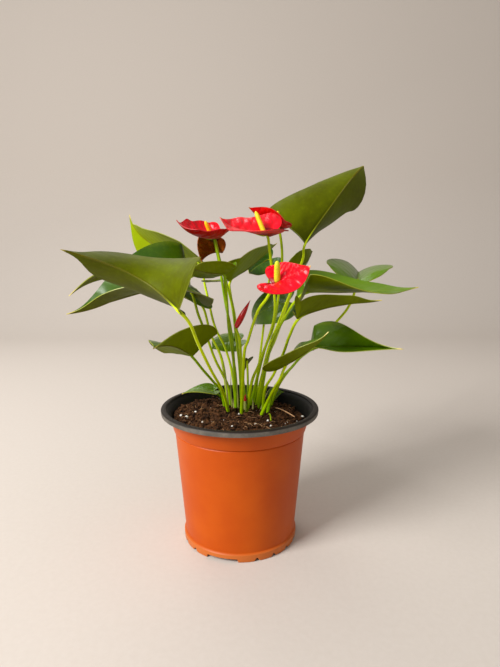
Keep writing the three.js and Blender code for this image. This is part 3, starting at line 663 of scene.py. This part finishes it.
def blade_place(blade, x, y):
    """A point of a blade's middle sheet in mm: x along in blade lengths, y across in half widths."""
    base, tip = Vector(blade["base"]), Vector(blade["tip"])
    along = tip - base
    length = along.length
    along.normalize()
    level = (Vector((0, 0, 1)) - along * along.z).normalized()
    roll, lift = math.radians(blade["roll"]), math.radians(blade["lift"])
    face = level * math.cos(roll) + level.cross(along) * math.sin(roll)
    sideways = face.cross(along)
    ahead = max(x, 0)
    arch = face * blade["arch"] + sideways * blade.get("bow", 0)
    hooked = max(0, (ahead - HOOK_START) / (1 - HOOK_START))
    drop = face * (2 * blade["hook"] * hooked / (1 - HOOK_START))
    tangent = (along * length + arch * (4 - 8 * ahead) - drop).normalized()
    normal = (face - tangent * face.dot(tangent)).normalized()
    if x < 0:
        point = base + (tangent * math.cos(lift) - normal * math.sin(lift)) * length * x
    else:
        point = base + along * length * x + arch * (4 * x * (1 - x)) - face * (blade["hook"] * hooked ** 2)
    twist = math.radians(blade["twist"]) * ahead
    normal = normal * math.cos(twist) + normal.cross(tangent) * math.sin(twist)
    side = normal.cross(tangent)
    bend = math.radians(blade["fold"] + blade.get("open", 0) * ahead + blade["curl"] * abs(y) / 2)
    across = side * y * math.cos(bend) + normal * abs(y) * math.sin(bend)
    return point + across * blade["width"] / 2, normal


def fuller(blade, x):
    """How much wider than the plain outline a blade is at a place along it."""
    shoulder = math.exp(-(((x - SHOULDER_AT) / SHOULDER_LENGTH) ** 2))
    along = min(max(x, 0), 1)
    return 1 + blade.get("full", 0) * 4 * along * (1 - along) + blade.get("shoulder", 0) * shoulder


def lobe_kept(blade, x, side):
    """How much of the plain basal lobe a blade has on one of its sides."""
    return 1 - blade.get("lobes", (0, 0))[side > 0] * math.exp(-(((x - LOBE_AT) / LOBE_LENGTH) ** 2))


def make_blade(name, blade, outline, thickness, skins):
    """A blade from a grid: its rows run from the midrib to the outline, and its sides get a skin each."""
    points = [Vector(point) for point in outline]
    made = start(name, grid, x_subdivisions=BLADE_ACROSS, y_subdivisions=BLADE_ALONG, size=2)
    made.data.uv_layers[0].name = "blade"
    shape = []
    for vertex in made.data.vertices:
        out, row = -vertex.co.x, (vertex.co.y + 1) / 2
        x, y, rib = spline(points, row)
        kept = lobe_kept(blade, x, out)
        y = y * fuller(blade, x) * kept * out
        reach = kept * blade.get("back", 1) if x < 0 else 1
        x = rib * (1 - abs(out)) + x * reach * abs(out)
        shape.append(((1 + y * MAP_ACROSS) / 2, (x + MAP_BEHIND) / MAP_LENGTH))
        vertex.co = blade_place(blade, x, y)[0] * MM
    for loop in made.data.loops:
        made.data.uv_layers["blade"].data[loop.index].uv = shape[loop.vertex_index]
    bpy.ops.object.mode_set(mode="EDIT")
    bpy.ops.mesh.select_all(action="SELECT")
    bpy.ops.mesh.remove_doubles(threshold=0.00002)
    bpy.ops.object.mode_set(mode="OBJECT")
    bpy.ops.object.modifier_add(type="SOLIDIFY")
    skin = made.modifiers[-1]
    skin.thickness = thickness * MM
    skin.offset = 0
    skin.material_offset = 1
    skin.material_offset_rim = 2
    for one in skins:
        made.data.materials.append(one)
    bpy.ops.object.modifier_apply(modifier=skin.name)
    bpy.ops.object.shade_smooth_by_angle(angle=math.radians(55))
    toned(made, blade.get("tone", 0.4))
    return made


def blade_map(made):
    """Where a point lies on its blade: how far across from the midrib, 0 to 1, and how far along."""
    place = node(made, "UVMap", uv_map="blade")
    u = node(made, "SeparateXYZ", (0, place), out=0)
    v = node(made, "SeparateXYZ", (0, place), out=1)
    across = number(made, "ABSOLUTE", number(made, "MULTIPLY_ADD", u, 2 / MAP_ACROSS, -1 / MAP_ACROSS))
    return place, across, number(made, "MULTIPLY_ADD", v, MAP_LENGTH, -MAP_BEHIND)


def veins(made, across, along, count, width):
    """The side veins, which leave the midrib forwards and curve towards the margin."""
    curve = number(made, "POWER", across, 1.25)
    phase = number(made, "MULTIPLY", number(made, "MULTIPLY_ADD", curve, -0.36, along), count)
    off = number(made, "ABSOLUTE", number(made, "SUBTRACT", number(made, "FRACT", phase), 0.5))
    line = spread(made, off, width, 0)
    near_margin = spread(made, across, 0.98, 0.7)
    return number(made, "MULTIPLY", line, near_margin), off


def leaf_skin(name, old, young, rib_colour, gloss, roughness, raised):
    """The upper or the lower skin of a leaf. Its tone runs from old to young, and is partly painted light: a
    leaf that stands lit is set brighter, one in shade darker.
    """
    made, shader = finish(name, roughness, Specular_IOR_Level=gloss)
    place, across, along = blade_map(made)
    tone = node(made, "Attribute", attribute_name="tone", out=2)
    blotch = speckle(made, place, 0.3, 4, 0.6)
    mottle = speckle(made, place, 0.03, 4, 0.65)
    share = number(made, "ADD", tone, number(made, "MULTIPLY_ADD", blotch, 0.6, -0.3))
    base = mixed(made, share, old, young)
    base = mixed(made, spread(made, mottle, 0.45, 0.8, 0, 0.3), base, mixed(made, 0.5, base, young))
    line, off = veins(made, across, along, 7, 0.06)
    base = mixed(made, number(made, "MULTIPLY", line, 0.1), base, rib_colour)
    rib_width = spread(made, along, 0.0, 1.0, 0.022, 0.04)
    rib = spread(made, number(made, "DIVIDE", across, rib_width), 1.0, 0.35)
    base = mixed(made, number(made, "MULTIPLY", rib, 0.6), base, rib_colour)
    uneven = number(made, "ADD", across, number(made, "MULTIPLY", mottle, 0.2))
    near_edge = spread(made, uneven, 0.98, 1.12, 0, 0.35)
    base = mixed(made, near_edge, base, rib_colour)
    water = spread(made, speckle(made, place, 0.045, 2, 0.4), 0.79, 0.82, 0, 0.7)
    base = mixed(made, water, base, paint(190, 190, 150))
    colour_in(made, shader, mixed(made, spread(made, along, 0.965, 0.99), base, paint(190, 176, 80)))
    dome = spread(made, off, 0, 0.5)
    waves = speckle(made, place, 0.16, 2)
    tiny = speckle(made, place, 0.006, 2)
    height = number(made, "MULTIPLY_ADD", dome, 0.35, number(made, "MULTIPLY", rib, raised))
    height = number(made, "MULTIPLY_ADD", waves, 2.2, height)
    bump_in(made, shader, number(made, "MULTIPLY_ADD", tiny, 0.05, height), 0.0006, 0.6)
    return made


leaf_top = leaf_skin("leaf_top", paint(42, 74, 4), paint(104, 138, 4), paint(116, 134, 20), 0.35, 0.3, -0.6)
leaf_under = leaf_skin("leaf_under", paint(66, 68, 0), paint(132, 150, 0), paint(106, 96, 4), 0.05, 0.5, 0.9)
leaf_edge, shader = finish("leaf_edge", 0.45)
place, across, along = blade_map(leaf_edge)
tone = speckle(leaf_edge, place, 0.05, 3)
pale = mixed(leaf_edge, tone, paint(104, 116, 10), paint(160, 164, 40))
colour_in(leaf_edge, shader, mixed(leaf_edge, spread(leaf_edge, along, 0.9, 0.97), pale, paint(200, 180, 90)))
LEAF_SKINS = (leaf_top, leaf_under, leaf_edge)

# Places and widths are in mm, angles in degrees. Each blade is rolled about its length, arched up
# and bowed sideways. It is folded along its midrib, opens towards its tip and curls to its margin,
# and its tip is twisted and hooked. What lies behind its base is lifted. Full, shoulder, lobes and
# back say how its outline differs from the plain heart, and its tone runs from old, 0, to young, 1.
# A leaf's tone is partly painted light: a leaf that stands lit is set brighter, one in shade darker.
# Where a leaf gives its petiole a tone, the petiole is painted brighter, as painted light where it stands
# lit.
LEAVES = (
    dict(name="leaf_front_left", base=(-34, -92, 187), tip=(-101, -83, 221), width=61,
         roll=-51, arch=17.8, fold=22, open=41, curl=39, twist=-80,
         hook=0, lift=-25, bow=-12.2, full=0.04, shoulder=0.8, lobes=(0.9, 0), tone=0.15, stem_light_tone=0.9,
         petiole=((-8, 8, 88), (-12, -7, 114), (-20, -33, 139), (-26, -60, 162), (-29, -84, 179))),
    dict(name="leaf_back_left", base=(-33, 50, 211), tip=(-103, 95, 248), width=73,
         roll=-30, arch=-6.1, fold=-4, open=-25, curl=5, twist=-38,
         hook=-6.1, lift=-19, bow=-2, full=0.14, shoulder=0.3, lobes=(0.8, 0), tone=0.9,
         petiole=((-3, 34, 88), (-6, 35, 118), (-12, 40, 140), (-21, 43, 159), (-28, 49, 188))),
    dict(name="leaf_upper_left", base=(-37, -2, 194), tip=(-117, -26, 171), width=71,
         roll=42, arch=10.8, fold=25, open=23, curl=7, twist=-45,
         hook=-9.8, lift=-54, bow=1, full=0.05, shoulder=0.0, tone=0.15,
         petiole=((-8, 21, 88), (-9, 17, 112), (-19, 9, 137), (-24, 2, 154), (-30, -5, 173))),
    dict(name="leaf_outer_left", base=(-33, 21, 190), tip=(-127, 4, 185), width=43,
         roll=0, arch=22.4, fold=-10, open=12, curl=-41, twist=-22,
         hook=-2, lift=0, bow=2, full=0.11, shoulder=0.4, tone=0.3,
         petiole=((-9, 28, 88), (-14, 24, 132), (-23, 25, 154), (-28, 24, 174), (-34, 26, 183))),
    dict(name="leaf_centre_left", base=(-10, -20, 204), tip=(-29, -63, 210), width=25,
         roll=-20, arch=1, fold=9, open=18, curl=-2, twist=-30,
         hook=0, lift=49, bow=-3.9, full=0.06, shoulder=0.2, tone=0.6,
         petiole=((-3, 12, 88), (-4, 8, 129), (-8, -2, 162), (-9, -9, 182), (-10, -18, 197))),
    dict(name="leaf_centre_back", base=(-8, 23, 197), tip=(33, 81, 228), width=52,
         roll=28, arch=-2, fold=22, open=-20, curl=1, twist=22,
         hook=1, lift=28, bow=0, full=0.07, shoulder=0.2, tone=0.8,
         petiole=((1, 30, 88), (1, 28, 120), (-1, 26, 146), (-4, 25, 170), (-7, 24, 186))),
    dict(name="leaf_top_right", base=(50, 17, 226), tip=(115, 108, 298), width=79,
         roll=80, arch=-6.2, fold=19, open=1, curl=80, twist=80,
         hook=0, lift=-80, bow=-11.4, full=-0.12, shoulder=1.1, lobes=(0, 0.9), back=0.15,
         tone=0.2, stem_light_tone=1.0,
         petiole=((12, 22, 88), (22, 17, 141), (31, 19, 165), (42, 19, 194), (49, 19, 214))),
    dict(name="leaf_behind_flower", base=(46, 35, 205), tip=(61, 70, 221), width=26,
         roll=65, arch=-4, fold=26, open=-25, curl=12, twist=21,
         hook=3, lift=14, bow=-3, full=0.02, shoulder=0.1, tone=0.5,
         petiole=((18, 31, 88), (20, 32, 123), (27, 33, 144), (36, 34, 169), (43, 35, 190))),
    dict(name="leaf_behind_centre", base=(29, 93, 213), tip=(8, 66, 200), width=28,
         roll=32, arch=-2.2, fold=18, open=-22, curl=1, twist=25,
         hook=-1.1, lift=19, bow=-3.3, full=0.15, shoulder=0.3, tone=0.05,
         petiole=((11, 34, 88), (16, 38, 125), (22, 66, 162), (28, 93, 200))),
    dict(name="leaf_back_right", base=(92, 19, 196), tip=(108, 84, 202), width=54,
         roll=-3, arch=2, fold=45, open=-4, curl=-35, twist=-9,
         hook=3, lift=-12, bow=0, full=0.14, shoulder=0.2, tone=0.6,
         petiole=((23, 25, 88), (33, 24, 115), (53, 23, 140), (77, 21, 165), (87, 20, 179))),
    dict(name="leaf_right_upper", base=(48, -11, 191), tip=(126, -21, 194), width=54,
         roll=-1, arch=-1, fold=22, open=-31, curl=22, twist=-14,
         hook=-1, lift=-64, bow=2, full=0.06, shoulder=0.3, tone=0.7,
         petiole=((14, 17, 88), (21, 6, 136), (27, -1, 158), (35, -7, 175), (41, -11, 185))),
    dict(name="leaf_right_middle", base=(38, -45, 176), tip=(98, -30, 184), width=32,
         roll=-6, arch=2.9, fold=45, open=-36, curl=36, twist=42,
         hook=-2.9, lift=79, bow=5.9, full=-0.11, shoulder=0.3, lobes=(0, 0.7), tone=0.35,
         petiole=((18, 9, 88), (19, -1, 115), (25, -11, 130), (31, -24, 149), (34, -35, 163))),
    dict(name="leaf_right_lower", base=(57, 1, 148), tip=(112, -38, 154), width=35,
         roll=-38, arch=-4, fold=45, open=35, curl=-11, twist=-50,
         hook=0, lift=-70, bow=5, full=0.25, shoulder=0.0, lobes=(0.7, 0), tone=0.4,
         petiole=((20, 4, 88), (25, 3, 112), (32, 2, 124), (40, 1, 133), (47, 1, 141))),
    dict(name="leaf_right_small", base=(32, -23, 139), tip=(58, -59, 167), width=35,
         roll=-17, arch=0, fold=25, open=5, curl=1, twist=1,
         hook=-3, lift=-9, bow=-5, full=0.07, shoulder=0.3, tone=0.4,
         petiole=((13, -1, 88), (24, -10, 116), (29, -20, 129))),
    dict(name="leaf_left_small", base=(-34, -17, 145), tip=(-52, -75, 162), width=51,
         roll=-22, arch=5, fold=33, open=0, curl=-13, twist=6,
         hook=0, lift=52, bow=0, full=0.08, shoulder=0.1, tone=0.5,
         petiole=((-11, 16, 88), (-14, 7, 111), (-20, -1, 122), (-27, -9, 133))),
    dict(name="leaf_back_low", base=(0, 58, 143), tip=(-24, 42, 138), width=24,
         roll=14, arch=1, fold=22, open=-25, curl=-30, twist=25,
         hook=-1, lift=23, bow=-3, full=0.4, shoulder=0.5, tone=0.8,
         petiole=((5, 38, 88), (2, 47, 119))),
    dict(name="leaf_centre_right", base=(40, 46, 178), tip=(13, 80, 153), width=32,
         roll=79, arch=11.1, fold=2, curl=4, twist=19, hook=2, lift=15, tone=0.35,
         petiole=((12, 40, 88), (22, 41, 128), (30, 43, 147), (36, 46, 164))),
    dict(name="leaf_back_small", base=(7, 56, 127), tip=(3, 60, 112), width=15,
         roll=0, arch=2, fold=5, curl=0, twist=0, hook=0, lift=0, tone=0.2,
         petiole=((7, 42, 88), (7, 48, 106))),
    dict(name="leaf_left_on_rim", base=(-21, 22, 108), tip=(-47, 22, 106), width=18,
         roll=14, arch=3, fold=8, open=0, curl=8, twist=-12,
         hook=0, lift=40, bow=1, full=0.1, shoulder=0.1, tone=0.5,
         petiole=((-12, 33, 88), (-15, 27, 101))),
    dict(name="leaf_right_on_soil", base=(25, 38, 99), tip=(37, 34, 104), width=14,
         roll=-50, arch=2, fold=-5, curl=0, twist=0, hook=1, lift=0, tone=0.5,
         petiole=((24, 39, 88),)),
)


def on_blade(blade, x, below):
    """A point under the midrib of a blade, at a share of its length, so many mm below its face."""
    point, normal = blade_place(blade, x, 0)
    return point - normal * below


def share_of(blade, reach):
    """The share of a blade's length that so many mm from its base are."""
    return reach / (Vector(blade["tip"]) - Vector(blade["base"])).length


def make_stem(name, path, blade, thickness, to_tip):
    """A stem up to its blade, which then runs on below it as the midrib, up to a share of its length."""
    inset = share_of(blade, SEAT_INSET)
    shares = [inset + (to_tip - inset) * i / 3 for i in range(4)]
    under = thickness / 2 + RIB_BELOW
    rib = [on_blade(blade, share, under - RIB_END_LIFT * (share == to_tip)) for share in shares]
    points = [Vector(point) for point in path] + rib
    rib_from = len(path) / (len(points) - 1)
    made = rod(name, points, stem_girth(rib_from), 12, 60)
    # The tone is painted light; a stem without a given one gets a chance tone.
    toned(made, blade.get("stem_light_tone", chance.random()))
    ribbed(made, rib_from if to_tip > 0.5 else 2)
    made.data.materials.append(stem_green)
    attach(made, "root")
    return made


for leaf in LEAVES:
    blade = make_blade(leaf["name"] + "_blade_fine", leaf, HEART_OUTLINE, BLADE_THICKNESS, LEAF_SKINS)
    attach(blade, "root")
    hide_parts(leaf["name"] + "_blade")
    petiole = make_stem(leaf["name"] + "_petiole_fine", leaf["petiole"], leaf, BLADE_THICKNESS, 0.9)
    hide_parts(leaf["name"] + "_petiole")

# ---------- Flowers ----------
# Each flower is one waxy, quilted spathe with a bumpy yellow spadix standing on it, at the top of
# its own stalk. Four are fresh and red, and one has faded to brown.
SPATHE_OUTLINE = (
    (0, 0, 0), (-0.10, 0.16, 0), (-0.20, 0.42, 0), (-0.19, 0.72, 0.01), (-0.06, 0.94, 0.04),
    (0.12, 1, 0.10), (0.32, 0.93, 0.22), (0.52, 0.76, 0.38), (0.70, 0.52, 0.56),
    (0.85, 0.26, 0.75), (0.94, 0.08, 0.90), (1, 0, 1),
)
SPATHE_THICKNESS = 0.6
SPADIX_FROM_BASE = 3.2


def spathe_skin(name, deep, bright, tip_colour, gloss, roughness, quilt):
    """One side of a spathe, puffed up between its sunken veins like a quilt. The sunken veins, the sunken
    midrib and the cup round the spadix's foot are painted darker, as painted shade.
    """
    made, shader = finish(name, roughness, Specular_IOR_Level=gloss)
    place, across, along = blade_map(made)
    blotch = speckle(made, place, 0.25, 3)
    wavy = node(made, "Mapping", ("Vector", place), ("Scale", (1, 1.4, 1)))
    cell = node(made, "TexVoronoi", ("Vector", wavy), ("Scale", 8), ("Smoothness", 0.5), feature="SMOOTH_F1")
    line, off = veins(made, across, along, 6, 0.12)
    base = mixed(made, spread(made, blotch, 0.3, 0.7), deep, bright)
    # Painted shade: a deeper red in the sunken grooves between the puffs and along the sunken midrib.
    base = mixed(made, spread(made, cell, 0.3, 0.75, 0, 0.5), base, deep)
    rib = spread(made, across, 0.05, 0.01, 0, 0.5)
    base = mixed(made, rib, base, deep)
    # Painted shade: a dark crimson ring in the cup round the spadix's foot.
    wide = number(made, "POWER", number(made, "DIVIDE", across, 0.3), 2)
    ahead = number(made, "MULTIPLY_ADD", along, 5, -0.1)
    ring = number(made, "MULTIPLY_ADD", ahead, ahead, wide)
    cup = spread(made, ring, 1.2, 0.7)
    crimson = mixed(made, 0.7, deep, paint(60, 0, 10))
    base = mixed(made, number(made, "MULTIPLY", cup, 0.85), base, crimson)
    colour_in(made, shader, mixed(made, spread(made, along, 0.93, 0.99), base, tip_colour))
    puffed = number(made, "MULTIPLY", cell, -1.8)
    height = number(made, "MULTIPLY_ADD", spread(made, off, 0, 0.5), 0.5, puffed)
    height = number(made, "SUBTRACT", height, number(made, "MULTIPLY", rib, 0.8))
    bump_in(made, shader, height, 0.0011 * quilt, 0.7)
    return made


spathe_inside = spathe_skin(
    "spathe_inside", paint(216, 0, 26), paint(248, 4, 42), paint(210, 170, 80), 0.3, 0.33, 0.8)
spathe_outside = spathe_skin(
    "spathe_outside", paint(188, 0, 2), paint(216, 2, 6), paint(180, 140, 60), 0.1, 0.45, 0.7)
spathe_edge, shader = finish("spathe_edge", 0.4)
tone = speckle(spathe_edge, blade_map(spathe_edge)[0], 0.05, 3)
colour_in(spathe_edge, shader, mixed(spathe_edge, tone, paint(150, 4, 10), paint(196, 24, 28)))
faded_skin = spathe_skin(
    "faded_skin", paint(140, 62, 10), paint(186, 96, 24), paint(150, 110, 40), 0.1, 0.6, 1.2)

spadix_yellow, shader = finish("spadix_yellow", 0.55, Subsurface_Weight=0.1, Subsurface_Scale=0.002)
place = own_place(spadix_yellow)
cells = node(spadix_yellow, "TexVoronoi", ("Vector", place), ("Scale", 1400))
tone = node(spadix_yellow, "Attribute", attribute_name="tone", out=2)
yellow = mixed(spadix_yellow, tone, paint(253, 226, 2), paint(214, 224, 40))
pit = mixed(spadix_yellow, tone, paint(226, 180, 2), paint(176, 184, 16))
# Painted shade: the pits between the tiny flowers are a darker, deeper yellow.
between = spread(spadix_yellow, cells, 0.2, 0.7, 0, 0.5)
colour_in(spadix_yellow, shader, mixed(spadix_yellow, between, yellow, pit))
bump_in(spadix_yellow, shader, number(spadix_yellow, "SUBTRACT", 1.0, cells), 0.0002, 0.8)
spadix_brown, shader = finish("spadix_brown", 0.7)
place = own_place(spadix_brown)
cells = node(spadix_brown, "TexVoronoi", ("Vector", place), ("Scale", 1400))
colour_in(spadix_brown, shader, mixed(spadix_brown, cells, paint(140, 96, 40), paint(70, 44, 18)))
bump_in(spadix_brown, shader, cells, 0.0002, 0.8)

FLOWERS = (
    dict(name="flower_left", base=(-16, -5, 229), tip=(-43, -22, 240), width=34,
         roll=12, arch=-3.9, fold=10, open=-7, curl=45, twist=12,
         hook=-1, lift=33, bow=0, full=0.13, shoulder=0.6, spadix=(-24, -11, 241), girth=1.5,
         stalk=((2, 22, 88), (0, 18, 127), (-3, 10, 157), (-6, 3, 182), (-14, -7, 213))),
    dict(name="flower_centre", base=(21, -22, 230), tip=(-14, -21, 240), width=49,
         roll=17, arch=-1, fold=38, open=-30, curl=-22, twist=2,
         hook=-3, lift=9, bow=1, full=-0.1, shoulder=0.6, spadix=(11, -20, 247), girth=1.7,
         stalk=((5, 8, 88), (9, 5, 119), (15, 2, 136), (25, -5, 169), (25, -10, 192), (21, -16, 222))),
    dict(name="flower_back", base=(31, 6, 236), tip=(7, 8, 252), width=28,
         roll=-14, arch=-1, fold=12, open=20, curl=-2, twist=-25,
         hook=0, lift=21, bow=0, full=0.08, shoulder=0, spadix=(28, 2, 249), girth=1.5,
         stalk=((7, 24, 88), (19, 20, 140), (27, 13, 166), (32, 8, 212))),
    dict(name="flower_front", base=(22, -43, 199), tip=(46, -50, 210), width=33,
         roll=-27, arch=1, fold=30, open=-44, curl=-25, twist=-31,
         hook=-1, lift=40, bow=-2, full=0.07, shoulder=0, spadix=(24, -50, 214), girth=2.1, green=0.9,
         stalk=((1, 4, 88), (3, -16, 144), (6, -23, 158), (12, -34, 179), (18, -40, 189))),
    dict(name="flower_faded", base=(-18, 12, 231), tip=(-29, 14, 212), width=26,
         roll=125, arch=-4, fold=14, open=-13, curl=27, twist=40,
         hook=-1, lift=-18, bow=-2, full=0.08, shoulder=0, spadix=(-13, 20, 222), girth=1.3,
         stalk=((-3, 28, 88), (-6, 22, 150), (-11, 16, 181), (-16, 12, 215))),
)


def spadix_girth(radius):
    """A finger with a round end, set with rows of tiny flowers."""
    def girth(part):
        foot = min(1, 0.8 + part * 2)
        end = math.sqrt(max(0, 1 - max(0, (part - 0.75) / 0.25) ** 2))
        return radius * (1 - 0.15 * part) * foot * end + 0.02
    return girth


for flower in FLOWERS:
    faded = flower["name"] == "flower_faded"
    skins = (faded_skin,) * 3 if faded else (spathe_inside, spathe_outside, spathe_edge)
    spathe = make_blade(flower["name"] + "_spathe_fine", flower, SPATHE_OUTLINE, SPATHE_THICKNESS, skins)
    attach(spathe, "root")
    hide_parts(flower["name"] + "_spathe")
    stalk = make_stem(flower["name"] + "_stalk_fine", flower["stalk"], flower, SPATHE_THICKNESS, 0.3)
    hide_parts(flower["name"] + "_stalk")
    finger = (on_blade(flower, share_of(flower, SPADIX_FROM_BASE), 0), flower["spadix"])
    spadix = rod(flower["name"] + "_spadix_fine", finger, spadix_girth(flower["girth"]), 20, 40)
    toned(spadix, flower.get("green", 0.1))
    spadix.data.materials.append(spadix_brown if faded else spadix_yellow)
    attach(spadix, "root")
    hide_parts(flower["name"] + "_spadix")

# ---------- The bud ----------
# A flower that hasn't opened: its red spathe is still rolled to a point round the spadix. It
# stands on its own stalk among the stems.
BUD_BASE = Vector((-3, -6, 164))
BUD_TIP = Vector((8, -6, 185))
BUD_RADIUS = 2.3
BUD_STALK = ((3, 13, 88), (1, 2, 139), (0, -3, 155), BUD_BASE)


def bud_girth(part):
    """The bud's radius along it: swollen near its foot and drawn out to a point."""
    swell = math.sin(math.pi * min(1, 0.12 + part * 0.88) ** 0.75)
    return BUD_RADIUS * max(0.06, swell)


bud = rod("bud_spathe_fine", (BUD_BASE, (BUD_BASE + BUD_TIP) / 2, BUD_TIP), bud_girth, 16, 24)
bud_red = dappled(
    "bud_red", 0.22, 0.004, paint(172, 4, 6), paint(208, 14, 14), 0.0003, 0.5,
    Coat_Weight=0.1, Coat_Roughness=0.1)
bud.data.materials.append(bud_red)
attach(bud, "root")
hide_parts("bud_spathe")
bud_stalk = rod("bud_stalk_fine", BUD_STALK, stem_girth(), 12, 40)
toned(bud_stalk, 0.6)
bud_stalk.data.materials.append(stem_green)
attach(bud_stalk, "root")
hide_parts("bud_stalk")

# ---------- Small growth at the crown ----------
# Dry papery sheaths wrap the feet of the stems and end in points, a tiny red bud stands among
# them, and a green shoot curls over the soil in front.
# Each sheath has its foot, middle and end, its radius and how dry it is, 0 to 1.
SHEATHS = (
    ((-9, 13, 96), (-11, 13.5, 117), (-14, 14, 134), 1.0, 0.9),
    ((-6, 10, 95), (-7, 11, 112), (-7, 12, 127), 0.9, 0.3),
    ((-1, 8, 95), (-2, 9, 115), (-3, 10, 132), 0.9, 0.5),
    ((2, 5, 95), (1.6, 5.5, 108), (1.3, 6, 121), 1.1, 0.6),
    ((-4, 6, 95), (-5, 7, 101), (-5.4, 8, 107), 1.0, 0.8),
    ((10.5, 13, 95), (10.5, 14, 100), (10, 14, 105), 1.2, 0.8),
    ((16, 7, 95), (19, 7.5, 105), (23, 8, 114), 1.1, 1.0),
    ((20, 9, 95), (24, 11, 106), (27.6, 12, 117), 0.8, 0.2),
    ((5, 3, 95), (5, 3.5, 98), (4.7, 4, 101), 1.2, 0.1),
)
SHOOT = ((21.7, -0.4, 95), (22.5, -6, 98), (22.8, -12, 98.5), (22.9, -17.8, 96.5))
SHOOT_RADIUS = 0.55
BUD_SHEATH = ((4, 4, 95), (4, 4.3, 101), (4, 4.6, 107))
BUD_SHEATH_RADIUS = 1.1
TINY_BUD = ((4, 4.5, 105), (4.1, 4.5, 108), (4.3, 4.5, 111))
TINY_BUD_RADIUS = 1.3


def sheath_girth(radius):
    """The radius along a sheath, which narrows to a point."""
    return lambda part: radius * (1 - part) ** 0.7


sheaths = []
for low, middle, high, radius, tone in SHEATHS:
    one = rod("sheath", (low, middle, high), sheath_girth(radius), 10, 16, 0.5)
    toned(one, tone)
    sheaths.append(one)
shoot = rod("shoot", SHOOT, lambda part: SHOOT_RADIUS, 8, 16)
toned(shoot, 0.0)
bud_sheath = rod("sheath", BUD_SHEATH, lambda part: BUD_SHEATH_RADIUS, 10, 16)
toned(bud_sheath, 0.4)
sheaths = joined("sheaths_and_shoot", [*sheaths, shoot, bud_sheath])
papery, shader = finish("papery_sheath", 0.55, Specular_IOR_Level=0.2)
tone = node(papery, "Attribute", attribute_name="tone", out=2)
drawn_out = node(papery, "Mapping", ("Vector", own_place(papery)), ("Scale", (1, 1, 0.1)))
fibre = speckle(papery, drawn_out, 0.0008, 3)
dry = mixed(papery, fibre, paint(206, 190, 120), paint(226, 214, 160))
living = mixed(papery, fibre, paint(110, 140, 6), paint(160, 176, 20))
colour_in(papery, shader, mixed(papery, tone, living, dry))
bump_in(papery, shader, fibre, 0.0002, 0.5)
sheaths.data.materials.append(papery)
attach(sheaths, "root")
tiny_bud = rod("tiny_bud", TINY_BUD, sheath_girth(TINY_BUD_RADIUS), 10, 16)
tiny_bud.data.materials.append(bud_red)
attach(tiny_bud, "root")
